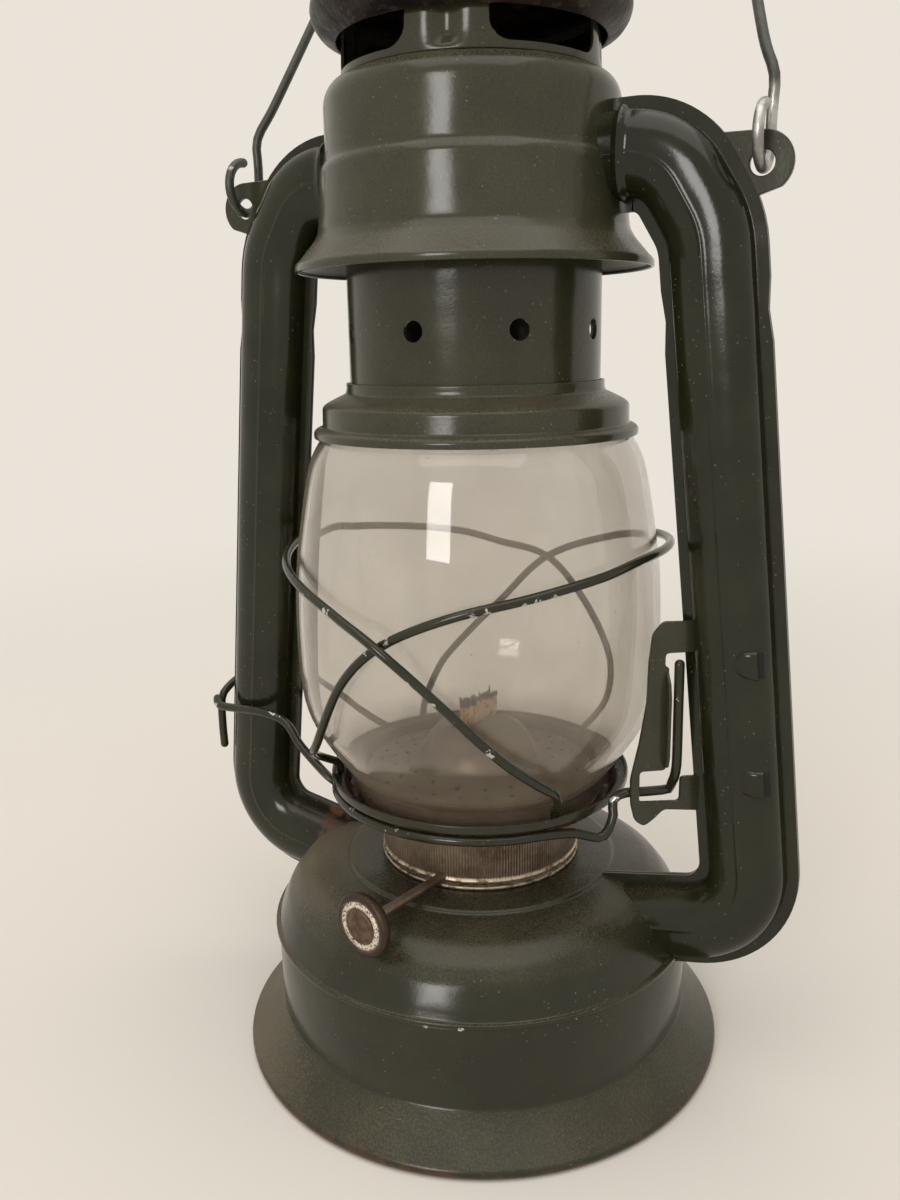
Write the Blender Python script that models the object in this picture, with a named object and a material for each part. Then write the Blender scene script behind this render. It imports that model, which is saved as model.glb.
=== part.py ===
"""Tubular kerosene lantern with side air tubes, wire guards and a globe that lifts.

The lamp stands on its foot at z = 0 with its axis on +Z.  The two side tubes lie in the
plane y = 0, and the wick knob points to the front, -Y.  All lengths are in metres.
"""
import bpy
import bmesh
from math import pi, tau, sin, cos, tan, radians, sqrt, atan2
from mathutils import Vector, Matrix

for item in list(bpy.data.objects):
    bpy.data.objects.remove(item, do_unlink=True)

# Gaps, stock and facets
FIT = 0.0003              # gap left between pieces that touch
MERGE = 0.000001          # points nearer than this are one point
OVERRUN = 0.002           # how far a cutter runs past what it cuts
SHEET = 0.0006            # tinplate
SIDES = 28                # facets round the lamp's axis
SMALL_SIDES = 18          # facets round small turned pieces

# Tank
FOOT_R = 0.0570           # outside of the rolled foot
FOOT_ROLL_R = 0.0015
CREASE_IN = 0.0005        # the crease between flare and wall lies this far inside the wall
CREASE_Z = 0.0100
TANK_R = 0.0490
TANK_TOP_Z = 0.0292
BOTTOM_RIM_H = 0.0030     # upturned rim of the bottom disc
BOTTOM_RISE = 0.0015      # crown of the bottom disc
SEAM_LIP = 0.0006         # crimped seam stands out this far
SEAM_H = 0.0012
DOME_TOP_Z = 0.0446
DECK_R = 0.0315           # raised flat deck round the burner
DECK_Z = 0.0456
BURNER_HOLE_R = 0.0210
DOME_shares = [(0.995, 0.0), (0.975, 0.20), (0.945, 0.46), (0.888, 0.71),
               (0.816, 0.885), (0.735, 0.97)]

# Filler behind the burner
FILLER_INSET = 0.0125     # filler's middle, in from the tank's side
FILLER_TURN = radians(97)
FILLER_R = 0.0072
FILLER_LOW_Z = 0.0385
FILLER_TOP_Z = 0.0500
CAP_R = 0.0092
CAP_SKIRT_H = 0.0052
CAP_GRIPS = 18            # grip notches round the cap
GASKET_T = 0.0010

# Burner
BURNER_TURN = radians(-12)
SOCKET_WALL = 0.0005
SOCKET_LIP_R = 0.0235
SOCKET_LIP_H = 0.0010
SOCKET_DEPTH = 0.0049     # below the deck
COLLAR_R = 0.0230
COLLAR_SHOULDER_Z = 0.0585
COLLAR_FLARE_H = 0.0030
COLLAR_TOP_R = 0.0259
COLLAR_TOP_Z = 0.0637
COLLAR_SKIRT_H = 0.0052
DECK_PLATE_Z = 0.0560
WICK_W = 0.0124
WICK_T = 0.0021
WICK_LOW_Z = 0.0290
WICK_TOP_Z = 0.0822
WICK_TUBE_LOW_Z = 0.0400
WICK_TUBE_TOP_Z = 0.0735
WICK_END_H = 0.0016       # charred, rounded end of the wick
SHAFT_X = 0.0065          # shaft beside the wick, in the burner's own frame
SHAFT_Z = 0.0483
SHAFT_R = 0.00105
SHAFT_INNER_END = 0.0090
WHEEL_GAP = 0.0033        # each wheel's middle, from the lamp's axis
WHEEL_W = 0.0016
WHEEL_TEETH = 12
WHEEL_TOOTH_H = 0.0009
KNOB_INSET = 0.0020       # knob's middle, in from the tank's side
KNOB_R = 0.0070
KNOB_T = 0.0020
KNOB_HUB_R = 0.0026
KNOB_HUB_L = 0.0034
KNOB_DOME = 0.0006
KNOB_GROOVE = 0.0004

# Gallery that carries the globe
GALLERY_R = 0.0348
LIP_H = 0.0017            # lip above the trough's shoulder
SHOULDER_Z = 0.0650
SHOULDER_W = 0.0020
TROUGH_R = 0.0306
TROUGH_Z = 0.0622
LEDGE_R = 0.0269
LEDGE_IN_R = 0.0240
LEDGE_Z = 0.0646
SEAT_RIM_H = 0.0013
SEAT_RISE = 0.0035        # seat plate from its rim to the dome's foot
FLAME_DOME_R = 0.0136
FLAME_DOME_H = 0.0094
FLAME_DOME_shares = [(1.0, 0.0), (0.965, 0.20), (0.90, 0.42), (0.76, 0.70), (0.45, 0.93)]
FLAME_SLOT_L = 0.0154
FLAME_SLOT_W = 0.0046

# Globe
GLASS_T = 0.0016
GLASS_FOOT_R = 0.0292
GLASS_FOOT_H = 0.0055
GLASS_R = 0.0412
GLASS_TOP_Z = 0.1501
GLASS_NECK_R = 0.0323
GLASS_NECK_H = 0.0042
GLASS_shares = [(0.740, 0.0), (0.840, 0.075), (0.922, 0.145), (0.968, 0.21), (0.996, 0.37),
                (0.992, 0.55), (0.940, 0.77), (0.890, 0.90), (0.830, 0.965)]

# Plate and chimney above the globe
PLATE_R = 0.0353
PLATE_LOW_Z = 0.1438
PLATE_RIM_H = 0.0015
BAND_R = 0.0332
BAND_LOW_Z = 0.1463
BAND_TOP_Z = 0.1507
PLATE_NECK_Z = 0.1536
PLATE_NECK_H = 0.0018
CHIMNEY_R = 0.0270
CHIMNEY_LOW_Z = 0.1530
CHIMNEY_TOP_Z = 0.1830
CHIMNEY_HOLES = 8
CHIMNEY_HOLE_R = 0.0021
CHIMNEY_HOLE_Z = 0.1657

# Air drum, crown and cap
SKIRT_R = 0.0377
SKIRT_LOW_Z = 0.1779
SKIRT_LIP_H = 0.0014
DRUM_CREASE_Z = 0.1863
DRUM_LOW_R = 0.0324
DRUM_MID_R = 0.0316
DRUM_STEP_Z = 0.1975
DRUM_STEP_H = 0.0024
DRUM_TOP_R = 0.0304
DRUM_SHOULDER_Z = 0.2095
DRUM_TOP_Z = 0.2146
CROWN_R = 0.0265
CROWN_TOP_R = 0.0260
CROWN_TOP_Z = 0.2280
CROWN_WINDOWS = 4
CROWN_TURN = radians(16)
WINDOW_W = 0.0245
WINDOW_LOW_Z = 0.2162
WINDOW_TOP_Z = 0.2262
WINDOW_CORNER_R = 0.0036
FLUTE_D = 0.0012          # flute down the middle of each pillar between two windows
FLUTE_FOOT_H = 0.0022     # its rounded foot
# (degrees from a pillar's middle, share of the flute's depth)
FLUTE_shares = [(-31, 0.0), (-18, 0.0), (-9, 0.08), (-5, 0.72), (0, 1.0), (5, 0.72), (9, 0.08), (18, 0.0),
                (31, 0.0), (45, 0.0)]
TOP_CAP_R = 0.0323
TOP_CAP_LOW_Z = 0.2218
TOP_CAP_TOP_Z = 0.2372
TOP_CAP_HOLE_R = 0.0022
TOP_CAP_shares = [(0.945, 0.115), (1.0, 0.355), (0.962, 0.60), (0.80, 0.77), (0.62, 0.89),
                  (0.25, 0.985)]

# Pull rod, spider and spring inside the drum
ROD_R = 0.0010
SPIDER_W = 0.0060
SPIDER_T = 0.0008
SPIDER_LEG = 0.0045
SPIDER_DROP = 0.0010      # spider below the chimney's top edge
EYE_R = 0.0024            # middle of the eye's wire
EYE_RISE = 0.0034         # eye's middle above the cap
RING_R = 0.0085
RING_WIRE_R = 0.0008
RING_FOLD = radians(10)   # ring lies back on the cap
SPRING_R = 0.0046
SPRING_WIRE_R = 0.0005
SPRING_TURNS = 9
SPRING_POINTS = 9         # points in each turn

# Side tubes, two half shells each
TUBE_W = 0.0208           # seam to seam
TUBE_BODY_W = 0.0160      # without the seams
TUBE_DEPTH = 0.0140       # front to back
TUBE_IN_X = 0.0288        # where the upper arm ends inside the drum
TUBE_TOP_Z = 0.1980       # middle of the upper arm
ELBOW_X = 0.0416
ELBOW_LOW_X = 0.0503
ELBOW_LOW_Z = 0.1835
HEEL_X = 0.0650           # where the leg and the lower arm's middle lines cross
HEEL_Z = 0.0414
ARM_END_X = 0.0300
ARM_END_Z = 0.0345
ELBOW_BEND_R = 0.0125
ELBOW_LOW_BEND_R = 0.0180
HEEL_BEND_R = 0.0145
COLLAR_BEAD_IN_X = 0.0329
COLLAR_BEAD_W = 0.0012
COLLAR_BEAD = 0.0009      # raised bead where the tube meets the drum

# Ears, bail
EAR_X = 0.0592
EAR_Z = 0.1945
EAR_LUG_R = 0.0057
EAR_HOLE_R = 0.0023
EAR_ARM = 0.0096          # upper arm, back to the seam
EAR_ARM_RISE = 0.0061
EAR_FOOT = 0.0069         # foot of the ear below its hole
EAR_FOOT_IN = 0.0012
BAIL_WIRE_R = 0.00105
BAIL_LOOP_R = 0.0055
BAIL_STRAIGHT = 0.0100
BAIL_SHOULDER_X = 0.0500
BAIL_SHOULDER_H = 0.0440
BAIL_H = 0.0880
BAIL_LEAN = radians(-26)
BAIL_ARCH_shares = [(0.93, 0.66), (0.75, 0.86), (0.45, 0.97), (0.0, 1.0)]

# Wires on the gallery
WIRE_R = 0.00105
GUARD_WIRE_R = 0.00095
GUARD_R = 0.0427          # middle of the guard wires, from the lamp's axis
GUARD_ROOT_R = 0.03285
GUARD_TOP_Z = 0.1210
GUARD_CROSS = 0.0024      # the left wire steps this far out where the two cross
WIRE_STEP = 0.0070        # spacing of a wire's points
GUARD_SWELL_shares = [(0.0, 0.0), (0.035, 0.0), (0.08, 0.34), (0.16, 0.68), (0.29, 0.95), (0.42, 1.0)]
# (bearing in degrees, share of the way up) of each guard wire
GUARD_RIGHT_shares = [(-150, 0.0), (-149.6, 0.035), (-145, 0.085), (-131, 0.18), (-119, 0.28), (-104, 0.57),
                      (-90, 0.74), (-71, 0.857), (-50, 0.92), (-29, 0.966), (-6, 1.0), (39, 0.975), (68, 0.893),
                      (91, 0.767), (108, 0.543), (127, 0.29), (134, 0.18),
                      (140, 0.085), (143.6, 0.035), (144, 0.0)]
GUARD_LEFT_shares = [(-35, 0.0), (-35.3, 0.035), (-37.5, 0.085), (-41, 0.16), (-47, 0.215), (-58, 0.336), (-74, 0.547),
                     (-90, 0.747), (-103, 0.816), (-121, 0.884), (-140, 0.928), (-180, 0.982),
                     (-196, 0.964), (-234, 0.90), (-252, 0.8375), (-269, 0.765), (-288, 0.545),
                     (-299, 0.336), (-302, 0.17), (-301, 0.085), (-300.3, 0.035),
                     (-300, 0.0)]
HOOP_R = 0.0340           # lift wires' hoops under the gallery
HOOK_RISE = 0.0108        # hooks above the hoops
LIFT_KNEE = 0.0045
LIFT_WIRE_STEP = 0.0048
LIFT_KNEE_shares = [(-14, 1.10, 1.0), (-15.5, 1.12, 0.2), (-20, 1.10, -0.56), (-29, 1.02, -0.2)]

# Lift bracket on the right tube, in a plane turned to the front
BRACKET_X = 0.0505
BRACKET_Y = -0.0016
BRACKET_TURN = radians(35)
BRACKET_T = 0.0010
BRACKET_LOW_Z = 0.0622
BRACKET_H = 0.0452
BRACKET_REACH = 0.0129
BRACKET_shares = [(-0.26, 0.060), (0.42, 0.080), (0.60, 0.030), (0.75, 0.0), (0.91, 0.030),
                  (0.985, 0.115), (1.0, 0.240), (0.868, 0.414), (0.76, 0.61), (0.744, 0.805),
                  (0.69, 0.945), (0.52, 1.0), (-0.10, 0.995), (-0.10, 0.85), (0.47, 0.85),
                  (0.47, 0.79), (0.405, 0.78), (0.405, 0.278), (0.845, 0.278), (0.845, 0.125),
                  (0.155, 0.118), (0.155, 0.24), (-0.26, 0.24)]
# (reach, stand-off, height) of the finger rod and of the wire behind the strip
LIFT_ROD_shares = [(0.248, 1.0, 0.81), (0.262, 1.0, 0.56), (0.271, 1.0, 0.34), (0.271, 0.62, 0.265),
                   (0.271, -0.15, 0.215), (0.274, -0.80, 0.175), (0.315, -1.06, 0.157), (0.65, -1.06, 0.154),
                   (1.05, -1.0, 0.154)]
# (x, y, z) of the wires' left ends: shares of the hook's reach, the tube's side and the hook's rise
FRONT_HOOK_shares = [(0.473, -1.68, -0.02), (0.587, -1.44, 0.45), (0.659, -1.26, 0.875), (0.76, -1.2, 1.0),
                     (0.889, -1.08, 0.94), (0.965, -1.0, 0.92), (0.995, -0.78, 1.02)]
REAR_HOOK_shares = [(0.475, 1.80, 0.09), (0.575, 1.38, 0.55), (0.68, 1.15, 1.0), (0.897, 1.11, 1.29),
                    (0.965, 1.0, 1.33), (1.0, 0.55, 1.28), (1.006, -0.05, 1.15), (1.008, -0.42, 0.93),
                    (1.010, -0.46, 0.3), (1.008, -0.46, -0.28)]


def material(name, rgb, roughness, metallic=0.0, alpha=1.0):
    """Principled material with one colour."""
    made = bpy.data.materials.new(name)
    made.use_nodes = True
    shader = made.node_tree.nodes["Principled BSDF"]
    shader.inputs["Base Color"].default_value = (*rgb, 1.0)
    shader.inputs["Roughness"].default_value = roughness
    shader.inputs["Metallic"].default_value = metallic
    shader.inputs["Alpha"].default_value = alpha
    made.diffuse_color = (*rgb, alpha)
    return made


GREEN = material("olive green enamel", (0.032, 0.038, 0.028), 0.28)
DUSTY = material("dusty green enamel", (0.050, 0.050, 0.038), 0.45)
TIN = material("tarnished tin", (0.20, 0.16, 0.12), 0.45, 0.8)
BROWN = material("mottled brown enamel", (0.060, 0.038, 0.030), 0.50)
RUSTY = material("rusty knob steel", (0.16, 0.10, 0.07), 0.60, 0.6)
SPRING_STEEL = material("spring steel", (0.30, 0.29, 0.27), 0.40, 0.9)
CLEAR = material("clear glass", (0.85, 0.83, 0.78), 0.08, 0.0, 0.30)
COTTON = material("cotton wick", (0.42, 0.33, 0.22), 0.95)
RUBBER = material("cork gasket", (0.22, 0.15, 0.09), 0.90)


def link(name, mesh_or_curve, mat):
    made = bpy.data.objects.new(name, mesh_or_curve)
    made.data.materials.append(mat)
    bpy.context.scene.collection.objects.link(made)
    return made


def from_bmesh(name, bm, mat, crease=radians(34)):
    """Closed mesh object with its faces out, smooth but for its sharp edges."""
    bmesh.ops.remove_doubles(bm, verts=bm.verts, dist=MERGE)
    bmesh.ops.recalc_face_normals(bm, faces=bm.faces)
    mesh = bpy.data.meshes.new(name)
    bm.to_mesh(mesh)
    bm.free()
    mesh.shade_smooth()
    mesh.set_sharp_from_angle(angle=crease)
    return link(name, mesh, mat)


def turned(name, outline, mat, sides=SIDES, place=(0, 0, 0)):
    """Solid of revolution about Z of a closed (r, z) outline.

    An outline that starts and ends on the axis is left open there.
    """
    bm = bmesh.new()
    ring = [bm.verts.new((r, 0, z)) for r, z in outline]
    edges = [bm.edges.new(pair) for pair in zip(ring, ring[1:])]
    if max(outline[0][0], outline[-1][0]) > MERGE:
        edges.append(bm.edges.new((ring[-1], ring[0])))
    bmesh.ops.spin(bm, geom=ring + edges, cent=(0, 0, 0), axis=(0, 0, 1), dvec=(0, 0, 0),
                   angle=tau, steps=sides, use_merge=True)
    made = from_bmesh(name, bm, mat)
    made.location = place
    return made


def offset_line(line, distance):
    """Open (r, z) line moved to the left of its travel, with mitred corners."""
    moved = []
    for i, point in enumerate(line):
        here = Vector(point)
        sides = []
        if i > 0:
            run = here - Vector(line[i - 1])
            sides.append(Vector((-run.y, run.x)).normalized())
        if i < len(line) - 1:
            run = Vector(line[i + 1]) - here
            sides.append(Vector((-run.y, run.x)).normalized())
        middle = sum(sides, Vector((0, 0))).normalized()
        moved.append(tuple(here + middle * distance / max(middle.dot(sides[0]), 0.4)))
    return moved


def sheet(line, thickness=SHEET):
    """Closed outline of a sheet whose first face is the line and whose back is to its left."""
    back = offset_line(line, thickness)
    back = [(max(r, 0.0), z) for r, z in back]
    return list(line) + back[::-1]


def octagon(r, z, radius, first, last):
    """Corners of an octagonal roll round (r, z), numbered from its lower inner flat."""
    corner = radius / cos(pi / 8)
    return [(r + corner * cos(radians(-112.5 + 45 * i)), z + corner * sin(radians(-112.5 + 45 * i)))
            for i in range(first, last + 1)]


def smooth_path(points, step, closed=False):
    """Points spaced evenly on a Catmull-Rom curve through the given points."""
    points = [Vector(p) for p in points]
    n = len(points)
    dense = []
    for i in range(n if closed else n - 1):
        if closed:
            p0, p1, p2, p3 = (points[(i + k) % n] for k in (-1, 0, 1, 2))
        else:
            p1, p2 = points[i], points[i + 1]
            p0 = points[i - 1] if i else p1 * 2 - p2
            p3 = points[i + 2] if i + 2 < n else p2 * 2 - p1
        for k in range(12):
            t = k / 12
            dense.append(0.5 * (2 * p1 + (p2 - p0) * t + (2 * p0 - 5 * p1 + 4 * p2 - p3) * t ** 2
                                + (3 * p1 - p0 - 3 * p2 + p3) * t ** 3))
    dense.append(points[0] if closed else points[-1])
    lengths = [0.0]
    for a, b in zip(dense, dense[1:]):
        lengths.append(lengths[-1] + (b - a).length)
    count = max(2, round(lengths[-1] / step))
    even, k = [], 0
    for i in range(count + 1):
        want = lengths[-1] * i / count
        while k < len(lengths) - 2 and lengths[k + 1] < want:
            k += 1
        span = max(lengths[k + 1] - lengths[k], MERGE)
        even.append(dense[k].lerp(dense[k + 1], (want - lengths[k]) / span))
    return even[:-1] if closed else even


def wire(name, points, radius, mat, closed=False, rounds=1):
    """Round wire along the points, with filled ends."""
    curve = bpy.data.curves.new(name, "CURVE")
    curve.dimensions = "3D"
    curve.resolution_u = 1
    curve.render_resolution_u = 0
    curve.bevel_depth = radius
    curve.bevel_resolution = rounds
    curve.use_fill_caps = not closed
    line = curve.splines.new("POLY")
    line.points.add(len(points) - 1)
    for spot, p in zip(line.points, points):
        spot.co = (*p, 1.0)
        spot.radius = 1.0
    line.use_cyclic_u = closed
    line.use_smooth = True
    return link(name, curve, mat)


def loft(name, sections, mat):
    """Closed solid through sections of equally many points, with flat ends."""
    bm = bmesh.new()
    rings = [[bm.verts.new(p) for p in section] for section in sections]
    n = len(rings[0])
    for a, b in zip(rings, rings[1:]):
        for i in range(n):
            bm.faces.new((a[i], a[(i + 1) % n], b[(i + 1) % n], b[i]))
    bm.faces.new(rings[0][::-1])
    bm.faces.new(rings[-1])
    return from_bmesh(name, bm, mat)


def plate(name, outline, thickness, mat, to_space):
    """Flat plate: an outline in its own plane, thickened both ways, placed by to_space."""
    bm = bmesh.new()
    half = thickness / 2
    low = [bm.verts.new(to_space(u, v, -half)) for u, v in outline]
    high = [bm.verts.new(to_space(u, v, half)) for u, v in outline]
    n = len(outline)
    for i in range(n):
        bm.faces.new((low[i], low[(i + 1) % n], high[(i + 1) % n], high[i]))
    bm.faces.new(low[::-1])
    bm.faces.new(high)
    return from_bmesh(name, bm, mat, radians(25))


def bar(name, start, end, radius, mat, sides=12):
    """Round bar between two points."""
    start, end = Vector(start), Vector(end)
    bm = bmesh.new()
    bmesh.ops.create_cone(bm, cap_ends=True, segments=sides, radius1=radius, radius2=radius,
                          depth=(end - start).length)
    turn = (end - start).to_track_quat("Z", "Y").to_matrix().to_4x4()
    bmesh.ops.transform(bm, matrix=Matrix.Translation((start + end) / 2) @ turn, verts=bm.verts)
    return from_bmesh(name, bm, mat)


def block(name, low, high, mat):
    """Box between two corners."""
    low, high = Vector(low), Vector(high)
    bm = bmesh.new()
    bmesh.ops.create_cube(bm, size=1)
    size = Matrix.Diagonal((*(high - low), 1))
    bmesh.ops.transform(bm, matrix=Matrix.Translation((low + high) / 2) @ size, verts=bm.verts)
    return from_bmesh(name, bm, mat)


def cut(target, cutter):
    """Takes the cutter out of the target; the cutter itself is only a guide."""
    knife = target.modifiers.new("cut by " + cutter.name, "BOOLEAN")
    knife.operation = "DIFFERENCE"
    knife.solver = "EXACT"
    knife.object = cutter
    cutter.hide_render = True
    cutter.display_type = "WIRE"


def rounded_box_outline(width, low, high, radius, steps=3):
    """Closed outline of an upright rectangle with round corners, middle at u = 0."""
    outline = []
    for cu, cv, first in ((width / 2 - radius, high - radius, 0), (radius - width / 2, high - radius, 1),
                          (radius - width / 2, low + radius, 2), (width / 2 - radius, low + radius, 3)):
        for i in range(steps + 1):
            a = pi / 2 * (first + i / steps)
            outline.append((cu + radius * cos(a), cv + radius * sin(a)))
    return outline


# Tank: wall with the rolled foot, bottom disc and dome
roll_r = FOOT_R - FOOT_ROLL_R
flare_top = (TANK_R - CREASE_IN, CREASE_Z)
roll = octagon(roll_r, FOOT_ROLL_R, FOOT_ROLL_R, 0, 4)
flare_in = offset_line([roll[-1], flare_top, (TANK_R, TANK_TOP_Z)], SHEET)
flare_root = Vector(flare_in[0]).lerp(Vector(flare_in[1]), 0.14)
wall_outline = (roll + [flare_top, (TANK_R, TANK_TOP_Z), (TANK_R - SHEET, TANK_TOP_Z), flare_in[1],
                        tuple(flare_root)] + octagon(roll_r, FOOT_ROLL_R, FOOT_ROLL_R, 6, 7))
tank_wall = turned("tank_wall", wall_outline, GREEN)

bottom_r = flare_in[1][0] - FIT
bottom_z = flare_in[1][1] + SHEET
turned("tank_bottom", [(0, bottom_z + BOTTOM_RISE), (bottom_r, bottom_z), (bottom_r, bottom_z + BOTTOM_RIM_H),
                       (bottom_r - SHEET, bottom_z + BOTTOM_RIM_H), (bottom_r - SHEET, bottom_z + SHEET),
                       (0, bottom_z + BOTTOM_RISE + SHEET)], DUSTY)

seam_low = TANK_TOP_Z + FIT
seam_top = seam_low + SEAM_H
dome_line = [(TANK_R * r, seam_top + (DOME_TOP_Z - seam_top) * z) for r, z in DOME_shares]
dome_line += [(DECK_R + SHEET, DOME_TOP_Z), (DECK_R, DECK_Z), (BURNER_HOLE_R, DECK_Z)]
dome_outline = ([(TANK_R + SEAM_LIP, seam_low), (TANK_R + SEAM_LIP, seam_top)] + sheet(dome_line)
                + [(TANK_R - SHEET, seam_low)])
tank_dome = turned("tank_dome", dome_outline, DUSTY)

# Filler neck, gasket and cap, behind the burner
filler_reach = TANK_R - FILLER_INSET
filler_at = Vector((filler_reach * cos(FILLER_TURN), filler_reach * sin(FILLER_TURN), 0))
neck_in_r = FILLER_R - SHEET
turned("filler_neck", [(FILLER_R, FILLER_LOW_Z), (FILLER_R, FILLER_TOP_Z), (neck_in_r, FILLER_TOP_Z),
                       (neck_in_r, FILLER_LOW_Z)], DUSTY, SMALL_SIDES, filler_at)
cut(tank_dome, turned("filler_hole_guide", [(0, FILLER_LOW_Z), (FILLER_R + FIT, FILLER_LOW_Z),
                                            (FILLER_R + FIT, FILLER_TOP_Z), (0, FILLER_TOP_Z)],
                      GREEN, SMALL_SIDES, filler_at))
gasket_low = FILLER_TOP_Z + FIT
turned("filler_gasket", [(neck_in_r, gasket_low), (FILLER_R + FIT, gasket_low),
                         (FILLER_R + FIT, gasket_low + GASKET_T), (neck_in_r, gasket_low + GASKET_T)],
       RUBBER, SMALL_SIDES, filler_at)
cap_in_z = gasket_low + GASKET_T + FIT
cap_top = cap_in_z + SHEET
cap_low = cap_in_z - CAP_SKIRT_H
cap_in_r = CAP_R - SHEET
bm = bmesh.new()
grips = CAP_GRIPS * 2
levels = [(CAP_R, cap_low), (CAP_R, cap_top - SHEET), (CAP_R - SHEET, cap_top)]
outer = [[bm.verts.new(((r - (SHEET / 2 if i % 2 and z < cap_top else 0)) * cos(tau * i / grips),
                        (r - (SHEET / 2 if i % 2 and z < cap_top else 0)) * sin(tau * i / grips), z))
          for i in range(grips)] for r, z in levels]
inner = [[bm.verts.new((r * cos(tau * i / grips), r * sin(tau * i / grips), z)) for i in range(grips)]
         for r, z in ((cap_in_r - SHEET / 2, cap_in_z), (cap_in_r - SHEET / 2, cap_low))]
for low_row, high_row in zip(outer, outer[1:]):
    for i in range(grips):
        j = (i + 1) % grips
        bm.faces.new((low_row[i], low_row[j], high_row[j], high_row[i]))
for i in range(grips):
    j = (i + 1) % grips
    bm.faces.new((inner[0][i], inner[0][j], inner[1][j], inner[1][i]))
    bm.faces.new((inner[1][i], inner[1][j], outer[0][j], outer[0][i]))
bm.faces.new(outer[-1])
bm.faces.new(inner[0])
filler_cap = from_bmesh("filler_cap", bm, TIN)
filler_cap.location = filler_at

# Burner: socket in the tank, knurled collar, wick tube and its deck
socket_r = BURNER_HOLE_R - FIT
socket_low = DECK_Z - SOCKET_DEPTH
lip_low = DECK_Z + FIT
lip_top = lip_low + SOCKET_LIP_H
socket_in_r = socket_r - SOCKET_WALL
turned("burner_socket", [(socket_r, socket_low), (socket_r, lip_low), (SOCKET_LIP_R, lip_low),
                         (SOCKET_LIP_R, lip_top), (socket_in_r, lip_top), (socket_in_r, socket_low)], TIN)

skirt_r = socket_in_r - FIT
floor_z = lip_top + FIT
collar_line = [(skirt_r, floor_z - COLLAR_SKIRT_H), (skirt_r, floor_z), (COLLAR_R, floor_z),
               (COLLAR_R, COLLAR_SHOULDER_Z), (COLLAR_TOP_R, COLLAR_SHOULDER_Z + COLLAR_FLARE_H),
               (COLLAR_TOP_R, COLLAR_TOP_Z)]
collar = turned("burner_collar", sheet(collar_line), TIN)

burner_frame = Matrix.Rotation(BURNER_TURN, 4, "Z")


def burner_point(x, y, z):
    return burner_frame @ Vector((x, y, z))


knob_y = TANK_R - KNOB_INSET
shaft_outer_end = knob_y - KNOB_T / 2
cut(collar, bar("shaft_notch_guide", burner_point(SHAFT_X, -COLLAR_R - OVERRUN, SHAFT_Z),
                burner_point(SHAFT_X, -skirt_r + OVERRUN * 2, SHAFT_Z), SHAFT_R + FIT, GREEN))


def stadium(width, depth, steps=4):
    """Flat oval, its long side along Y."""
    radius = depth / 2
    run = width / 2 - radius
    return ([(radius * cos(pi * i / steps), run + radius * sin(pi * i / steps)) for i in range(steps + 1)]
            + [(-radius * cos(pi * i / steps), -run - radius * sin(pi * i / steps)) for i in range(steps + 1)])


def oval_bar(name, width, depth, low, high, mat):
    return loft(name, [[burner_point(x, y, z) for x, y in stadium(width, depth)] for z in (low, high)], mat)


tube_in_w, tube_in_t = WICK_W + FIT * 2, WICK_T + FIT * 2
tube_out_w, tube_out_t = tube_in_w + SHEET * 2, tube_in_t + SHEET * 2
wick_tube = oval_bar("wick_tube", tube_out_w, tube_out_t, WICK_TUBE_LOW_Z, WICK_TUBE_TOP_Z, TIN)
cut(wick_tube, oval_bar("wick_bore_guide", tube_in_w, tube_in_t, WICK_TUBE_LOW_Z - OVERRUN,
                        WICK_TUBE_TOP_Z + OVERRUN, GREEN))
wheel_r = SHAFT_X - WICK_T / 2 - FIT
for side in (-1, 1):
    middle = side * WHEEL_GAP
    half = WHEEL_W / 2 + FIT
    window = block("wheel_window_guide", (WICK_T / 2 + FIT / 2, middle - half, SHAFT_Z - wheel_r),
                   (SHAFT_X, middle + half, SHAFT_Z + wheel_r), GREEN)
    window.rotation_euler.z = BURNER_TURN
    cut(wick_tube, window)

deck_in_r = COLLAR_R - SHEET - FIT
burner_deck = turned("burner_deck", [(0, DECK_PLATE_Z), (deck_in_r, DECK_PLATE_Z),
                                     (deck_in_r, DECK_PLATE_Z + SHEET), (0, DECK_PLATE_Z + SHEET)], TIN)
cut(burner_deck, oval_bar("deck_slot_guide", tube_out_w + FIT * 2, tube_out_t + FIT * 2,
                          DECK_PLATE_Z - OVERRUN, DECK_PLATE_Z + OVERRUN, GREEN))

# Wick with a charred end that narrows
ends = [(1.0, WICK_LOW_Z), (1.0, WICK_TOP_Z - WICK_END_H), (0.86, WICK_TOP_Z)]
loft("wick", [[burner_point(x * k, y * k, z) for x, y in stadium(WICK_W, WICK_T)] for k, z in ends], COTTON)

# Shaft, two toothed wheels and the knob turn together beside the wick
bar("wick_shaft", burner_point(SHAFT_X, SHAFT_INNER_END, SHAFT_Z),
    burner_point(SHAFT_X, -shaft_outer_end, SHAFT_Z), SHAFT_R, TIN, 10)


def wheel_outline():
    points = []
    for i in range(WHEEL_TEETH * 2):
        a = tau * (i + 0.5) / (WHEEL_TEETH * 2)
        r = wheel_r if i % 2 else wheel_r - WHEEL_TOOTH_H
        points.append((r * cos(a), r * sin(a)))
    return points


for name, side in (("wick_wheel_front", -1), ("wick_wheel_back", 1)):
    wheel = plate(name, wheel_outline(), WHEEL_W, TIN,
                  lambda u, v, w: burner_point(SHAFT_X + u, side * WHEEL_GAP + w, SHAFT_Z + v))
    cut(wheel, bar(name + "_bore_guide", burner_point(SHAFT_X, side * WHEEL_GAP - WHEEL_W, SHAFT_Z),
                   burner_point(SHAFT_X, side * WHEEL_GAP + WHEEL_W, SHAFT_Z), SHAFT_R + FIT, GREEN, 10))

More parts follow.
